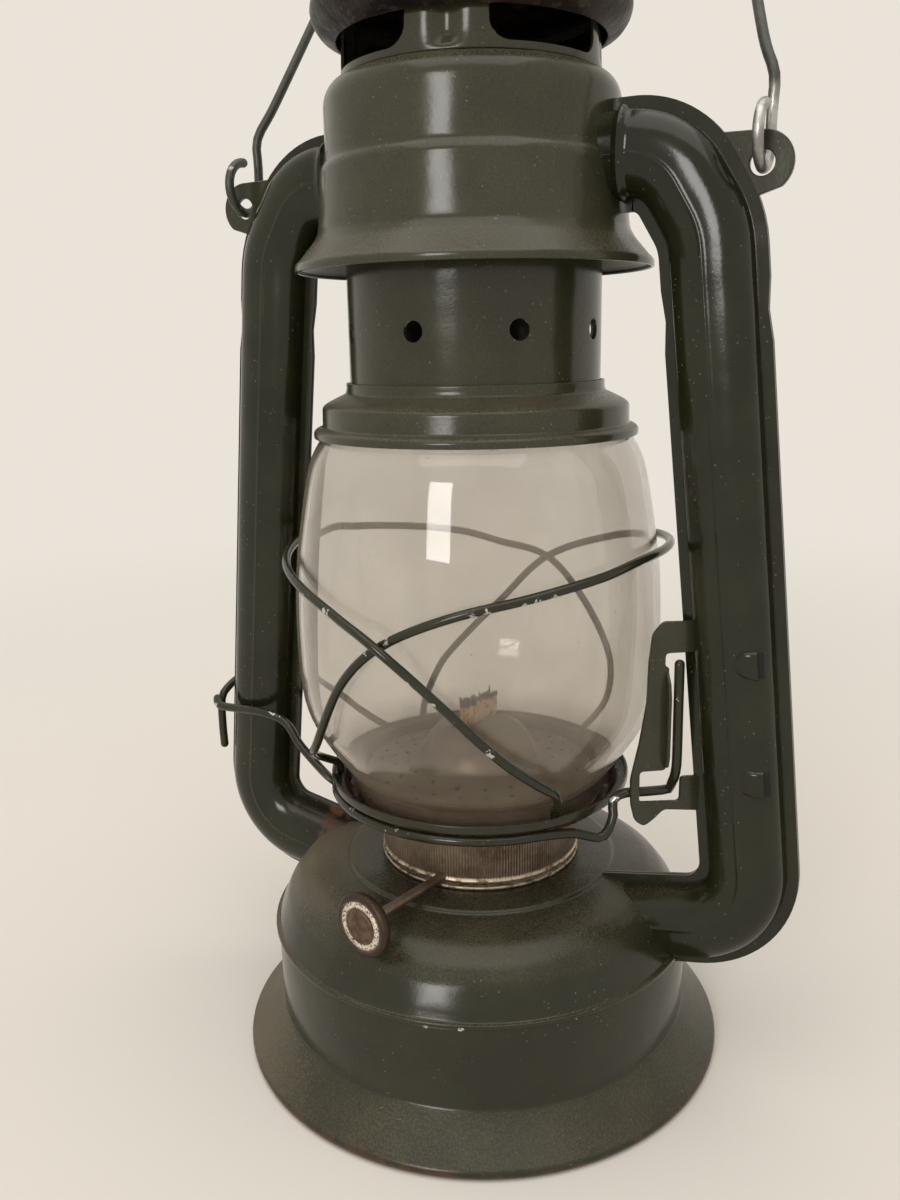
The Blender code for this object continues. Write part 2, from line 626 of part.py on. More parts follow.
knob_face = KNOB_T / 2
knob_outline = [(0, knob_face + KNOB_DOME), (KNOB_R * 0.55, knob_face + KNOB_DOME * 0.8),
                (KNOB_R * 0.66, knob_face - KNOB_GROOVE), (KNOB_R * 0.74, knob_face - KNOB_GROOVE),
                (KNOB_R * 0.84, knob_face), (KNOB_R, knob_face - KNOB_DOME), (KNOB_R, -knob_face + KNOB_DOME),
                (KNOB_R - KNOB_DOME, -knob_face), (KNOB_HUB_R, -knob_face), (KNOB_HUB_R, -knob_face - KNOB_HUB_L),
                (SHAFT_R + FIT, -knob_face - KNOB_HUB_L), (SHAFT_R + FIT, FIT), (0, FIT)]
knob = turned("wick_knob", knob_outline[::-1], RUSTY, 20)
knob.matrix_world = (Matrix.Translation(burner_point(SHAFT_X, -knob_y, SHAFT_Z))
                     @ burner_frame @ Matrix.Rotation(pi / 2, 4, "X"))

# Gallery: trough ring that carries the globe, and the seat plate with its flame dome
trough_line = [(GALLERY_R - SHEET, SHOULDER_Z + LIP_H), (GALLERY_R - SHEET, SHOULDER_Z),
               (GALLERY_R - SHEET - SHOULDER_W, SHOULDER_Z), (TROUGH_R, TROUGH_Z),
               (LEDGE_R + SHEET, TROUGH_Z), (LEDGE_R, TROUGH_Z + SHEET), (LEDGE_R, LEDGE_Z), (LEDGE_IN_R, LEDGE_Z)]
turned("gallery_ring", sheet(trough_line), DUSTY)

seat_r = LEDGE_R - FIT
seat_low = LEDGE_Z + FIT
dome_foot_z = seat_low + SEAT_RISE
dome_points = [(FLAME_DOME_R * r, dome_foot_z + SHEET + FLAME_DOME_H * z) for r, z in FLAME_DOME_shares]
seat_line = [(seat_r, seat_low), (seat_r, seat_low + SEAT_RIM_H), (FLAME_DOME_R + SHEET * 2, dome_foot_z)]
seat_line += dome_points + [(0, dome_foot_z + SHEET + FLAME_DOME_H)]
burner_cap = turned("burner_cap", sheet(seat_line), TIN)
slot = block("flame_slot_guide", (-FLAME_SLOT_W / 2, -FLAME_SLOT_L / 2, dome_foot_z + FLAME_DOME_H / 2),
             (FLAME_SLOT_W / 2, FLAME_SLOT_L / 2, dome_foot_z + FLAME_DOME_H + OVERRUN), GREEN)
slot.rotation_euler.z = BURNER_TURN
cut(burner_cap, slot)

# Globe: foot in the trough, belly, neck inside the plate's band
glass_low = TROUGH_Z + FIT
belly_low = glass_low + GLASS_FOOT_H
neck_low = GLASS_TOP_Z - GLASS_NECK_H
glass_line = [(GLASS_FOOT_R, glass_low), (GLASS_FOOT_R, belly_low)]
glass_line += [(GLASS_R * r, belly_low + (neck_low - belly_low) * z) for r, z in GLASS_shares]
glass_line += [(GLASS_NECK_R, neck_low), (GLASS_NECK_R, GLASS_TOP_Z)]
turned("globe", sheet(glass_line, GLASS_T), CLEAR)

# Plate on the globe and the pierced chimney
plate_line = [(PLATE_R, PLATE_LOW_Z), (PLATE_R, PLATE_LOW_Z + PLATE_RIM_H), (BAND_R, BAND_LOW_Z),
              (BAND_R, BAND_TOP_Z), (CHIMNEY_R + FIT + SHEET, PLATE_NECK_Z),
              (CHIMNEY_R + FIT + SHEET, PLATE_NECK_Z + PLATE_NECK_H)]
turned("globe_plate", sheet(plate_line), DUSTY)
chimney = turned("chimney", sheet([(CHIMNEY_R, CHIMNEY_LOW_Z), (CHIMNEY_R, CHIMNEY_TOP_Z)]), GREEN)
bm = bmesh.new()
for i in range(CHIMNEY_HOLES):
    drill = bmesh.ops.create_cone(bm, cap_ends=True, segments=12, radius1=CHIMNEY_HOLE_R,
                                  radius2=CHIMNEY_HOLE_R, depth=OVERRUN * 3)
    way = Matrix.Rotation(tau * i / CHIMNEY_HOLES - pi / 2, 4, "Z") @ Matrix.Rotation(pi / 2, 4, "Y")
    place = Matrix.Translation((0, 0, CHIMNEY_HOLE_Z)) @ way @ Matrix.Translation((0, 0, CHIMNEY_R))
    bmesh.ops.transform(bm, matrix=place @ Matrix.Rotation(pi / 12, 4, "Z"), verts=drill["verts"])
cut(chimney, from_bmesh("chimney_drill_guide", bm, GREEN))

# Air drum with its skirt, crown with four windows, and the cap
drum_line = [(SKIRT_R, SKIRT_LOW_Z), (SKIRT_R, SKIRT_LOW_Z + SKIRT_LIP_H), (DRUM_LOW_R, DRUM_CREASE_Z),
             (DRUM_MID_R, DRUM_STEP_Z), (DRUM_TOP_R, DRUM_STEP_Z + DRUM_STEP_H), (DRUM_TOP_R, DRUM_SHOULDER_Z)]
shoulder_h = DRUM_TOP_Z - DRUM_SHOULDER_Z
for share in (0.35, 0.7, 1.0):
    a = pi / 2 * share
    drum_line.append((CROWN_R + (DRUM_TOP_R - CROWN_R) * cos(a), DRUM_SHOULDER_Z + shoulder_h * sin(a)))
air_drum = turned("air_drum", sheet(drum_line), GREEN)

crown_low = DRUM_TOP_Z + FIT
crown_line = sheet([(CROWN_R, crown_low), (CROWN_R, crown_low + FLUTE_FOOT_H), (CROWN_TOP_R, CROWN_TOP_Z)])
bm = bmesh.new()
ribs = []
for i in range(CROWN_WINDOWS):
    for turn, share in FLUTE_shares:
        a = CROWN_TURN + tau * i / CROWN_WINDOWS + radians(turn)
        dips = [0 if z < crown_low + FLUTE_FOOT_H / 2 else FLUTE_D * share for r, z in crown_line]
        ribs.append([bm.verts.new(((r - dip) * cos(a), (r - dip) * sin(a), z))
                     for (r, z), dip in zip(crown_line, dips)])
for rib, after in zip(ribs, ribs[1:] + ribs[:1]):
    for k in range(len(rib)):
        bm.faces.new((rib[k - 1], rib[k], after[k], after[k - 1]))
crown = from_bmesh("crown", bm, GREEN)
window = rounded_box_outline(WINDOW_W, WINDOW_LOW_Z, WINDOW_TOP_Z, WINDOW_CORNER_R)
for i in range(CROWN_WINDOWS // 2):
    a = CROWN_TURN + pi / CROWN_WINDOWS + tau * i / CROWN_WINDOWS
    along, across = Vector((cos(a), sin(a), 0)), Vector((-sin(a), cos(a), 0))
    cut(crown, plate("window_guide", window, (CROWN_R + OVERRUN) * 2, GREEN,
                     lambda u, v, w: across * u + along * w + Vector((0, 0, v))))

cap_in_low_r = CROWN_R + FIT + SHEET
top_cap_h = TOP_CAP_TOP_Z - TOP_CAP_LOW_Z
top_line = [(cap_in_low_r, TOP_CAP_LOW_Z)]
top_line += [(TOP_CAP_R * r, TOP_CAP_LOW_Z + top_cap_h * z) for r, z in TOP_CAP_shares]
top_line += [(TOP_CAP_HOLE_R, TOP_CAP_TOP_Z)]
turned("top_cap", sheet(top_line), BROWN)

# Spider in the chimney's mouth, pull rod with its eye, ring and return spring
spider_z = CHIMNEY_TOP_Z - SPIDER_DROP
spider_x = sqrt((CHIMNEY_R - SHEET - FIT * 2) ** 2 - (SPIDER_W / 2) ** 2)
spider_leg_z = spider_z - SPIDER_LEG
plate("spider", [(-spider_x, spider_leg_z), (-spider_x, spider_z), (spider_x, spider_z),
                 (spider_x, spider_leg_z), (spider_x - SPIDER_T, spider_leg_z),
                 (spider_x - SPIDER_T, spider_z - SPIDER_T), (SPIDER_T - spider_x, spider_z - SPIDER_T),
                 (SPIDER_T - spider_x, spider_leg_z)], SPIDER_W, TIN, lambda u, v, w: Vector((u, w, v)))
rod_low = spider_z + FIT
eye_z = TOP_CAP_TOP_Z + EYE_RISE
rod_points = [(0, 0, rod_low), (0, 0, (rod_low + TOP_CAP_TOP_Z) / 2), (0, 0, TOP_CAP_TOP_Z)]
rod_points += [(0, EYE_R * sin(radians(a)), eye_z - EYE_R * cos(radians(a))) for a in range(0, 301, 30)]
wire("pull_rod", rod_points, ROD_R, TIN)

fold = Vector((0, cos(RING_FOLD), -sin(RING_FOLD)))
ring_points = [Vector((0, 0, eye_z)) + fold * RING_R
               + Vector((RING_R * cos(tau * i / 20), 0, 0)) + fold * RING_R * sin(tau * i / 20) for i in range(20)]
wire("lift_ring", ring_points, RING_WIRE_R, TIN, closed=True)

spring_low = spider_z + FIT + SPRING_WIRE_R
spring_top = TOP_CAP_TOP_Z - SHEET - FIT * 2 - SPRING_WIRE_R
coil = []
for i in range(SPRING_TURNS * SPRING_POINTS + 1):
    a = tau * i / SPRING_POINTS
    coil.append((SPRING_R * cos(a), SPRING_R * sin(a),
                 spring_low + (spring_top - spring_low) * i / (SPRING_TURNS * SPRING_POINTS)))
wire("chimney_spring", coil, SPRING_WIRE_R, SPRING_STEEL)
near = min((Vector(a) - Vector(b)).length for i, a in enumerate(coil)
           for b in coil[i + SPRING_POINTS // 2:]) - SPRING_WIRE_R * 2
print("least gap of the spring to itself: %.2f mm" % (near * 1000))


# Side tubes: each is two pressed half shells, seamed in the plane y = 0
def rounded_path(corners, radii, steps):
    """Stations (place, direction) along a line whose corners are rounded."""
    corners = [Vector(c) for c in corners]
    stations = [(corners[0], (corners[1] - corners[0]).normalized())]
    for i, (radius, count) in enumerate(zip(radii, steps), start=1):
        way_in = (corners[i] - corners[i - 1]).normalized()
        way_out = (corners[i + 1] - corners[i]).normalized()
        turn = atan2(way_in.x * way_out.y - way_in.y * way_out.x, way_in.dot(way_out))
        start = corners[i] - way_in * radius * tan(abs(turn) / 2)
        side = Vector((-way_in.y, way_in.x)) * (1 if turn > 0 else -1)
        centre = start + side * radius
        for k in range(count + 1):
            spin = Matrix.Rotation(turn * k / count, 2)
            stations.append((centre + spin @ (start - centre), spin @ way_in))
    stations.append((corners[-1], (corners[-1] - corners[-2]).normalized()))
    return stations


tube_path = rounded_path([(TUBE_IN_X, TUBE_TOP_Z), (ELBOW_X, TUBE_TOP_Z), (ELBOW_LOW_X, ELBOW_LOW_Z),
                          (HEEL_X, HEEL_Z), (ARM_END_X, ARM_END_Z)],
                         [ELBOW_BEND_R, ELBOW_LOW_BEND_R, HEEL_BEND_R], [5, 2, 7])
start, along = tube_path[0]
bead_steps = [(0, 0), (COLLAR_BEAD / 3, COLLAR_BEAD), (COLLAR_BEAD_W, COLLAR_BEAD),
              (COLLAR_BEAD_W + COLLAR_BEAD / 3, 0)]
beads = [(Vector((COLLAR_BEAD_IN_X + step, TUBE_TOP_Z)), along, swell) for step, swell in bead_steps]
stations = [(start, along, 0)] + beads
stations += [(place, way, 0) for place, way in tube_path[1:]]


def in_tube(station, across, y, side):
    """Point of a tube's section: across from inner seam to outer seam, y front to back."""
    place, way = station[:2]
    return Vector((side * (place.x - way.y * across), y, place.y + way.x * across))


def half_section(swell):
    """Closed outline (across, y) of one half shell with its two seam flanges."""
    low, skin = FIT / 2, SHEET
    body, deep, seam = TUBE_BODY_W / 2 + swell, TUBE_DEPTH / 2 + swell, TUBE_W / 2
    arc = [radians(a) for a in (36, 72, 108, 144)]
    rise = deep - low - skin
    outer = [(-seam, low + skin), (-body, low + skin)]
    outer += [(-body * cos(a), low + skin + rise * sin(a)) for a in arc]
    outer += [(body, low + skin), (seam, low + skin), (seam, low), (body - skin, low)]
    inner = [((body - skin) * cos(a), low + skin + (rise - skin) * sin(a)) for a in arc]
    return outer + inner + [(skin - body, low), (-seam, low)]


def tube_guide(name, side, spread):
    """Solid envelope of a whole tube, wider than it by the given spread."""
    body, deep, seam = TUBE_BODY_W / 2 + spread, TUBE_DEPTH / 2 + spread, TUBE_W / 2 + spread
    flat = FIT / 2 + SHEET + spread
    half = [(-seam, flat), (-body, flat)]
    half += [(-body * cos(radians(a)), flat + (deep - flat) * sin(radians(a))) for a in (36, 72, 108, 144)]
    half += [(body, flat), (seam, flat)]
    outline = half + [(across, -y) for across, y in half[::-1]]
    plain = [station for station in stations if not station[2]]
    first = (plain[0][0] - along * OVERRUN, along)
    return loft(name, [[in_tube(s, across, y, side) for across, y in outline] for s in [first] + plain], GREEN)


crimp = (TANK_R + SEAM_LIP, seam_low), (TANK_R + SEAM_LIP, seam_top)
tank_line = offset_line([flare_top, (TANK_R, TANK_TOP_Z), *crimp, *dome_line], -FIT)
tank_guide = turned("tank_guide", [(0, CREASE_Z), *tank_line, (0, DECK_Z + FIT)], GREEN)
tube_guides = {}
for side_name, side in (("right", 1), ("left", -1)):
    tube_guides[side] = tube_guide("tube_guide_" + side_name, side, FIT)
    cut(air_drum, tube_guides[side])
    for half_name, face in (("front", -1), ("back", 1)):
        sections = [[in_tube(s, across, face * y, side) for across, y in half_section(s[2])] for s in stations]
        cut(loft("tube_%s_%s" % (side_name, half_name), sections, GREEN), tank_guide)

# Ears on the tubes' outer seams, and the bail that hangs in them
ear_t = SHEET * 2 + FIT
for side_name, side in (("right", 1), ("left", -1)):
    outline = [(EAR_X - EAR_ARM, EAR_Z + EAR_ARM_RISE), (EAR_X - EAR_FOOT_IN, EAR_Z - EAR_FOOT)]
    outline += [(EAR_X + EAR_LUG_R * cos(radians(a)), EAR_Z + EAR_LUG_R * sin(radians(a)))
                for a in range(-35, 96, 13)]
    ear = plate("ear_" + side_name, outline, ear_t, GREEN, lambda u, v, w: Vector((side * u, w, v)))
    cut(ear, tube_guides[side])
    cut(ear, bar("ear_hole_guide", (side * EAR_X, -ear_t, EAR_Z), (side * EAR_X, ear_t, EAR_Z), EAR_HOLE_R,
                 GREEN, 14))

# The bail's eyes rest on the lower edge of the ears' holes, and it swings about their middle
bail_z = EAR_Z + BAIL_LOOP_R - (EAR_HOLE_R - BAIL_WIRE_R - FIT * 1.2)
loop = [(EAR_X, BAIL_LOOP_R * sin(radians(a)), BAIL_LOOP_R * cos(radians(a))) for a in range(335, 49, -24)]
rise = [(EAR_X, BAIL_LOOP_R * 0.48, BAIL_LOOP_R * 1.36), (EAR_X, BAIL_LOOP_R * 0.06, BAIL_STRAIGHT * 1.3),
        (EAR_X + (BAIL_SHOULDER_X - EAR_X) / 3, 0, BAIL_STRAIGHT + (BAIL_SHOULDER_H - BAIL_STRAIGHT) / 3),
        (BAIL_SHOULDER_X, 0, BAIL_SHOULDER_H)]
arch = [(BAIL_SHOULDER_X * x, 0, BAIL_H * h) for x, h in BAIL_ARCH_shares]
half_bail = [loop[-1]] + rise + arch
whole = half_bail + [(-x, y, z) for x, y, z in half_bail[-2::-1]]
bail_points = loop[:-1] + smooth_path(whole, WIRE_STEP) + [(-x, y, z) for x, y, z in loop[-2::-1]]
bail = wire("bail", bail_points, BAIL_WIRE_R, GREEN)
bail.location.z = bail_z
bail.rotation_euler.x = BAIL_LEAN


# Wires that guard the globe, rooted in the gallery's shoulder
guard_low_z = SHOULDER_Z + FIT * 2


def guard_points(route, bump):
    """Wire round the globe, smoothed in bearing, radius and height so that it stays clear of the glass."""
    controls = []
    for turn, up in route:
        low = [rise for rise in GUARD_SWELL_shares if rise[0] <= up][-1]
        high = [rise for rise in GUARD_SWELL_shares if rise[0] > up][:1]
        grow = low[1] + (high[0][1] - low[1]) * (up - low[0]) / (high[0][0] - low[0]) if high else low[1]
        controls.append((radians(turn) * GUARD_R, GUARD_ROOT_R + (GUARD_R - GUARD_ROOT_R) * grow,
                         guard_low_z + (GUARD_TOP_Z - guard_low_z) * up))
    points = []
    for along, radius, z in controls[:2] + smooth_path(controls[2:-2], WIRE_STEP) + controls[-2:]:
        turn = along / GUARD_R
        for cross in (-pi / 2, -pi * 3 / 2):
            radius += bump * 2.718 ** -(((turn - cross) / radians(11)) ** 2)
        points.append((radius * cos(turn), radius * sin(turn), z))
    return points


wire("guard_wire_right", guard_points(GUARD_RIGHT_shares, 0), GUARD_WIRE_R, GREEN)
wire("guard_wire_left", guard_points(GUARD_LEFT_shares, GUARD_CROSS), GUARD_WIRE_R, GREEN)

# Bracket on the right tube: a slotted strip that the lift wire runs in
inward = Vector((-cos(BRACKET_TURN), -sin(BRACKET_TURN), 0))
outward = Vector((sin(BRACKET_TURN), -cos(BRACKET_TURN), 0))


def on_bracket(reach, out, z):
    """Point at a reach from the tube along the bracket, out from its face."""
    return Vector((BRACKET_X, BRACKET_Y, z)) + inward * reach + outward * out


bracket_outline = [(BRACKET_REACH * u, BRACKET_LOW_Z + BRACKET_H * v) for u, v in BRACKET_shares]
bracket = plate("lift_bracket", bracket_outline, BRACKET_T, GREEN, lambda u, v, w: on_bracket(u, w, v))
cut(bracket, tube_guides[1])

# Lift wires: hoops under the gallery, hooked round the left tube; the front one ends in the finger rod
hoop_z = SHOULDER_Z - SHEET - FIT - WIRE_R
leg_lean = (HEEL_X - ELBOW_LOW_X) / (ELBOW_LOW_Z - HEEL_Z)
hook_z = hoop_z + HOOK_RISE
hook_x = (ELBOW_LOW_X + (ELBOW_LOW_Z - hook_z) * leg_lean + TUBE_W / 2 * sqrt(1 + leg_lean ** 2)
          + FIT + WIRE_R)
side_y = TUBE_DEPTH / 2 + FIT + WIRE_R
stand = BRACKET_T / 2 + FIT + WIRE_R + FIT / 3


def hoop(first, last, step=12):
    count = round(abs(last - first) / step)
    turns = [radians(first + (last - first) * i / count) for i in range(count + 1)]
    return [(HOOP_R * cos(a), HOOP_R * sin(a), hoop_z) for a in turns]


def hooked(shares):
    return [(-hook_x * x, side_y * y, hoop_z + HOOK_RISE * z) for x, y, z in shares]


def bracket_route(shares):
    return [on_bracket(BRACKET_REACH * u, stand * w, BRACKET_LOW_Z + BRACKET_H * v) for u, w, v in shares]


knee = [(HOOP_R * r * cos(radians(a)), HOOP_R * r * sin(radians(a)), hoop_z + LIFT_KNEE * z)
        for a, r, z in LIFT_KNEE_shares]
front_route = bracket_route(LIFT_ROD_shares) + knee + hoop(-42, -148) + hooked(FRONT_HOOK_shares)
wire("lift_wire", smooth_path(front_route, LIFT_WIRE_STEP), WIRE_R, GREEN)
wire("lift_wire_rear", smooth_path(hoop(100, 150) + hooked(REAR_HOOK_shares), LIFT_WIRE_STEP), WIRE_R, GREEN)
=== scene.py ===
# %% [markdown]
# # A small tubular kerosene lantern
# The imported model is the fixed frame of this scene.  Its solids have the right places and
# sizes but coarse facets and plain colours.  Each cell below makes one piece of the lantern
# again in fine mesh code, hangs it on the body that carries it, and gives it a finish that
# is worked out by nodes.

# %% Load the frame
import bpy
import bmesh
from math import pi, tau, sin, cos, tan, atan2, radians, sqrt
from mathutils import Vector, Matrix, noise


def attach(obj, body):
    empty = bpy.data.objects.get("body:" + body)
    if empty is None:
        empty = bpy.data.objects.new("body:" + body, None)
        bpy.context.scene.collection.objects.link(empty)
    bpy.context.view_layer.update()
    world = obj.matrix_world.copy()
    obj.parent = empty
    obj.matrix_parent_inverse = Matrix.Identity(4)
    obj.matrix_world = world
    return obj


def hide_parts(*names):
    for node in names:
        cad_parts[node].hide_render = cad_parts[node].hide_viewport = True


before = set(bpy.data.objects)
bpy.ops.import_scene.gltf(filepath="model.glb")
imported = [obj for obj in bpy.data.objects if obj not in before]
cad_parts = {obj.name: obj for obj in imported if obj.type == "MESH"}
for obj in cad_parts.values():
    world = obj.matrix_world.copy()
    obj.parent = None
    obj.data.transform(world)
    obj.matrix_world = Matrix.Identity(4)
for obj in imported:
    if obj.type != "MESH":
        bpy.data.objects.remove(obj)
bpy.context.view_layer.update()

# %% [markdown]
# The camera stands where the photographer stood: a little above the shoulder of the tank,
# turned 26 degrees to the right of the lantern's front, and tilted down 14 degrees.  A
# plain pale floor that fades into the world's colour stands in for the room, because it has
# no corner that could show up in the glossy enamel.

# %% Camera
scene = bpy.context.scene
eye = bpy.data.cameras.new("eye")
eye.lens = 31.53
eye.sensor_width = 36.0
camera = bpy.data.objects.new("camera", eye)
camera.location = (0.10314, -0.20921, 0.16398)
camera.rotation_euler = (radians(76.110), radians(0.987), radians(27.544))
scene.collection.objects.link(camera)
scene.camera = camera
scene.view_settings.view_transform = "Standard"
print("camera height %.0f mm" % (camera.location.z * 1000))

# %% [markdown]
# Shader sums are easier to read as sums.  `Field` wraps one socket whose value changes over
# the surface, and its operators add the Math nodes.  `Finish` is a material being made: one
# method adds any node, and the rest are short recipes built on it.

# %% Fields and finishes
class Field:
    """A value that changes over a surface."""

    def __init__(self, finish, socket):
        self.finish, self.socket = finish, socket

    def sum(self, operation, first, second=0.0):
        return self.finish.node("ShaderNodeMath", {"operation": operation}, {0: first, 1: second})

    def __add__(self, other):
        return self.sum("ADD", self, other)

    __radd__ = __add__

    def __sub__(self, other):
        return self.sum("SUBTRACT", self, other)

    def __rsub__(self, other):
        return self.sum("SUBTRACT", other, self)

    def __mul__(self, other):
        return self.sum("MULTIPLY", self, other)

    __rmul__ = __mul__

    def __truediv__(self, other):
        return self.sum("DIVIDE", self, other)

    def __rtruediv__(self, other):
        return self.sum("DIVIDE", other, self)

    def __pow__(self, other):
        return self.sum("POWER", self, other)

    def ramp(self, low, high, first=0.0, last=1.0):
        """Goes smoothly from first to last as this value goes from low to high."""
        return self.finish.node("ShaderNodeMapRange", {"interpolation_type": "SMOOTHSTEP"},
                                {0: self, 1: low, 2: high, 3: first, 4: last})


class Finish:
    """A material that is being made."""

    def __init__(self, name, **constants):
        self.material = bpy.data.materials.new(name)
        self.material.use_nodes = True
        self.tree = self.material.node_tree
        self.shader = self.tree.nodes["Principled BSDF"]
        for key, value in constants.items():
            self.shader.inputs[key.replace("_", " ")].default_value = value
        self.place = self.node("ShaderNodeTexCoord", out="Object")
        self.x, self.y, self.z = self.parts(self.place)

    def node(self, kind, settings={}, sockets={}, out=0):
        """Adds any node: its settings first, then the values or links of its sockets."""
        made = self.tree.nodes.new(kind)
        for key, value in settings.items():
            if key == "stops":
                ramp = made.color_ramp.elements
                for i, (at, colour) in enumerate(value):
                    stop = ramp[i] if i < 2 else ramp.new(at)
                    stop.position, stop.color = at, (*colour, 1.0)
            else:
                setattr(made, key, value)
        for key, value in sockets.items():
            self.plug(value, made.inputs[key])
        return Field(self, made.outputs[out])

    def plug(self, value, socket):
        if isinstance(value, Field):
            self.tree.links.new(value.socket, socket)
        elif isinstance(value, tuple) and len(value) == 3 and socket.type == "RGBA":
            socket.default_value = (*value, 1.0)
        else:
            socket.default_value = value

    def parts(self, vector):
        split = self.node("ShaderNodeSeparateXYZ", {}, {0: vector}).socket.node
        return [Field(self, out) for out in split.outputs]

    def grain(self, scale, detail=3.0, place=None, rough=0.55):
        """Cloudy noise from 0 to 1, with this many clouds to a metre."""
        return self.node("ShaderNodeTexNoise", {}, {"Vector": place or self.place, "Scale": scale,
                                                    "Detail": detail, "Roughness": rough})

    def spots(self, scale, low, high, place=None):
        """Scattered round spots: 1 in a spot's middle, 0 outside."""
        return 1 - self.node("ShaderNodeTexVoronoi", {}, {"Vector": place or self.place,
                                                          "Scale": scale}).ramp(low, high)

    def stretched(self, x, y, z):
        return self.node("ShaderNodeMapping", {}, {0: self.place, 3: (x, y, z)})

    def mix(self, first, second, mask):
        """Colour that goes from the first to the second as the mask goes from 0 to 1."""
        return self.node("ShaderNodeMix", {"data_type": "RGBA", "clamp_factor": True},
                         {0: mask, 6: first, 7: second}, 2)

    def facing_up(self, low=0.25, high=0.95):
        """1 on surfaces that face up, where dust settles."""
        normal = self.node("ShaderNodeTexCoord", out="Normal")
        return self.parts(normal)[2].ramp(low, high)

    def near(self, spots, reach, ragged=0.9):
        """1 close to any of these places, with a ragged edge and flecks left standing in it."""
        edge = self.grain(900.0, 5.0) * ragged * reach
        total = 0.0
        for spot in spots:
            apart = self.node("ShaderNodeVectorMath", {"operation": "DISTANCE"}, {0: self.place, 1: spot}, "Value")
            total = 1 - (apart + edge).ramp(reach * 0.75, reach) + total
        return total.ramp(0.0, 1.0) * self.grain(1100.0, 4.0).ramp(0.42, 0.50)

    def round_axis(self):
        """Bearing of a point round the lantern's axis, in radians."""
        return self.node("ShaderNodeMath", {"operation": "ARCTAN2"}, {0: self.y, 1: self.x})

    def relief(self, height, strength, distance):
        bump = self.node("ShaderNodeBump", {}, {"Height": height, "Strength": strength, "Distance": distance})
        self.tree.links.new(bump.socket, self.shader.inputs["Normal"])

    def set(self, **sockets):
        for key, value in sockets.items():
            self.plug(value, self.shader.inputs[key.replace("_", " ")])
        return self


print("helpers for finishes are ready")

# %% [markdown]
# Real enamel is never one colour.  This lantern's dark olive enamel is glossy where fingers
# and air keep it clean, and grey-brown and dull where dust has settled on faces that look
# up.  It carries pale specks, a few bright chips down to the tinplate, and rust where water
# stood.  One recipe makes every green piece, with more or less of each.

# %% Enamel
DUST = (0.150, 0.124, 0.080)
HAZE = (0.126, 0.122, 0.082)
RUST = (0.105, 0.044, 0.019)
BARE = (0.52, 0.49, 0.45)
OLIVE = (0.0100, 0.0108, 0.0040)


def enamel(name, haze=0.1, dust=0.6, chips=0.0, rust=None, scars=(), scar_size=0.0011):
    """Old olive enamel; rust makes a mask from the finish, and dust is a number or does the same."""
    paint = Finish(name, Specular_IOR_Level=0.36)
    cloudy = paint.grain(62.0, 5.0)
    fine = paint.grain(1300.0, 4.0)
    grit = paint.grain(2700.0, 2.0).ramp(0.38, 0.66)
    base = paint.mix(OLIVE, tuple(c * 1.7 for c in OLIVE), cloudy.ramp(0.35, 0.7))
    base = paint.mix(base, HAZE, (0.65 + cloudy * 0.7) * (0.8 + grit * 0.4) * haze)
    layer = dust(paint) if callable(dust) else dust
    settled = paint.facing_up(0.22, 0.9) * (0.55 + cloudy * 0.8) * (0.62 + grit * 0.5) * layer
    settled = settled.ramp(0.0, 1.25)
    base = paint.mix(base, DUST, settled)
    crumbs = paint.spots(620.0, 0.06, 0.13) * (paint.grain(95.0).ramp(0.46, 0.60) * 0.45 + settled * 0.5)
    base = paint.mix(base, (0.30, 0.265, 0.205), crumbs)
    rough = 0.115 + haze * 0.12 + settled * 0.62 + cloudy * 0.07
    metal = 0.0
    if rust:
        rusty = rust(paint) * paint.grain(300.0, 7.0).ramp(0.40, 0.60)
        base = paint.mix(base, RUST, rusty)
        rough = rough + rusty * 0.45
    if chips or scars:
        worn = paint.grain(240.0, 4.0, rough=0.62).ramp(0.70 - chips * 0.1, 0.715 - chips * 0.1) if chips else 0.0
        if scars:
            worn = (paint.near(scars, scar_size) + worn).ramp(0.2, 0.9)
        base = paint.mix(base, BARE, worn)
        metal = worn * 0.55
        rough = rough + worn * 0.15
    waves = paint.grain(48.0, 2.0) + fine * 0.03 + settled * grit * 0.16 + paint.grain(260.0, 3.0) * 0.05
    paint.relief(waves, 0.35, 0.0011)
    return paint.set(Base_Color=base, Roughness=rough, Metallic=metal).material


def left_dust_and_light(paint):
    """Paler on the tank's left, behind the knob: partly dust lying thicker there, partly painted light falling from the
    left.
    """
    return 0.46 + (1 - paint.x.ramp(-0.046, -0.012)) * 0.85


def low_rim(paint):
    return (1 - paint.z.ramp(0.0004, 0.0034)) * 0.7


def seam_rust(paint):
    """Rust that crept from the left tube's joint, and a little at the drum."""
    left = (1 - paint.x.ramp(-0.0385, -0.0355)) * paint.x.ramp(-0.0445, -0.0415)
    return left * paint.z.ramp(0.038, 0.042) * (1 - paint.z.ramp(0.047, 0.049)) * 0.9


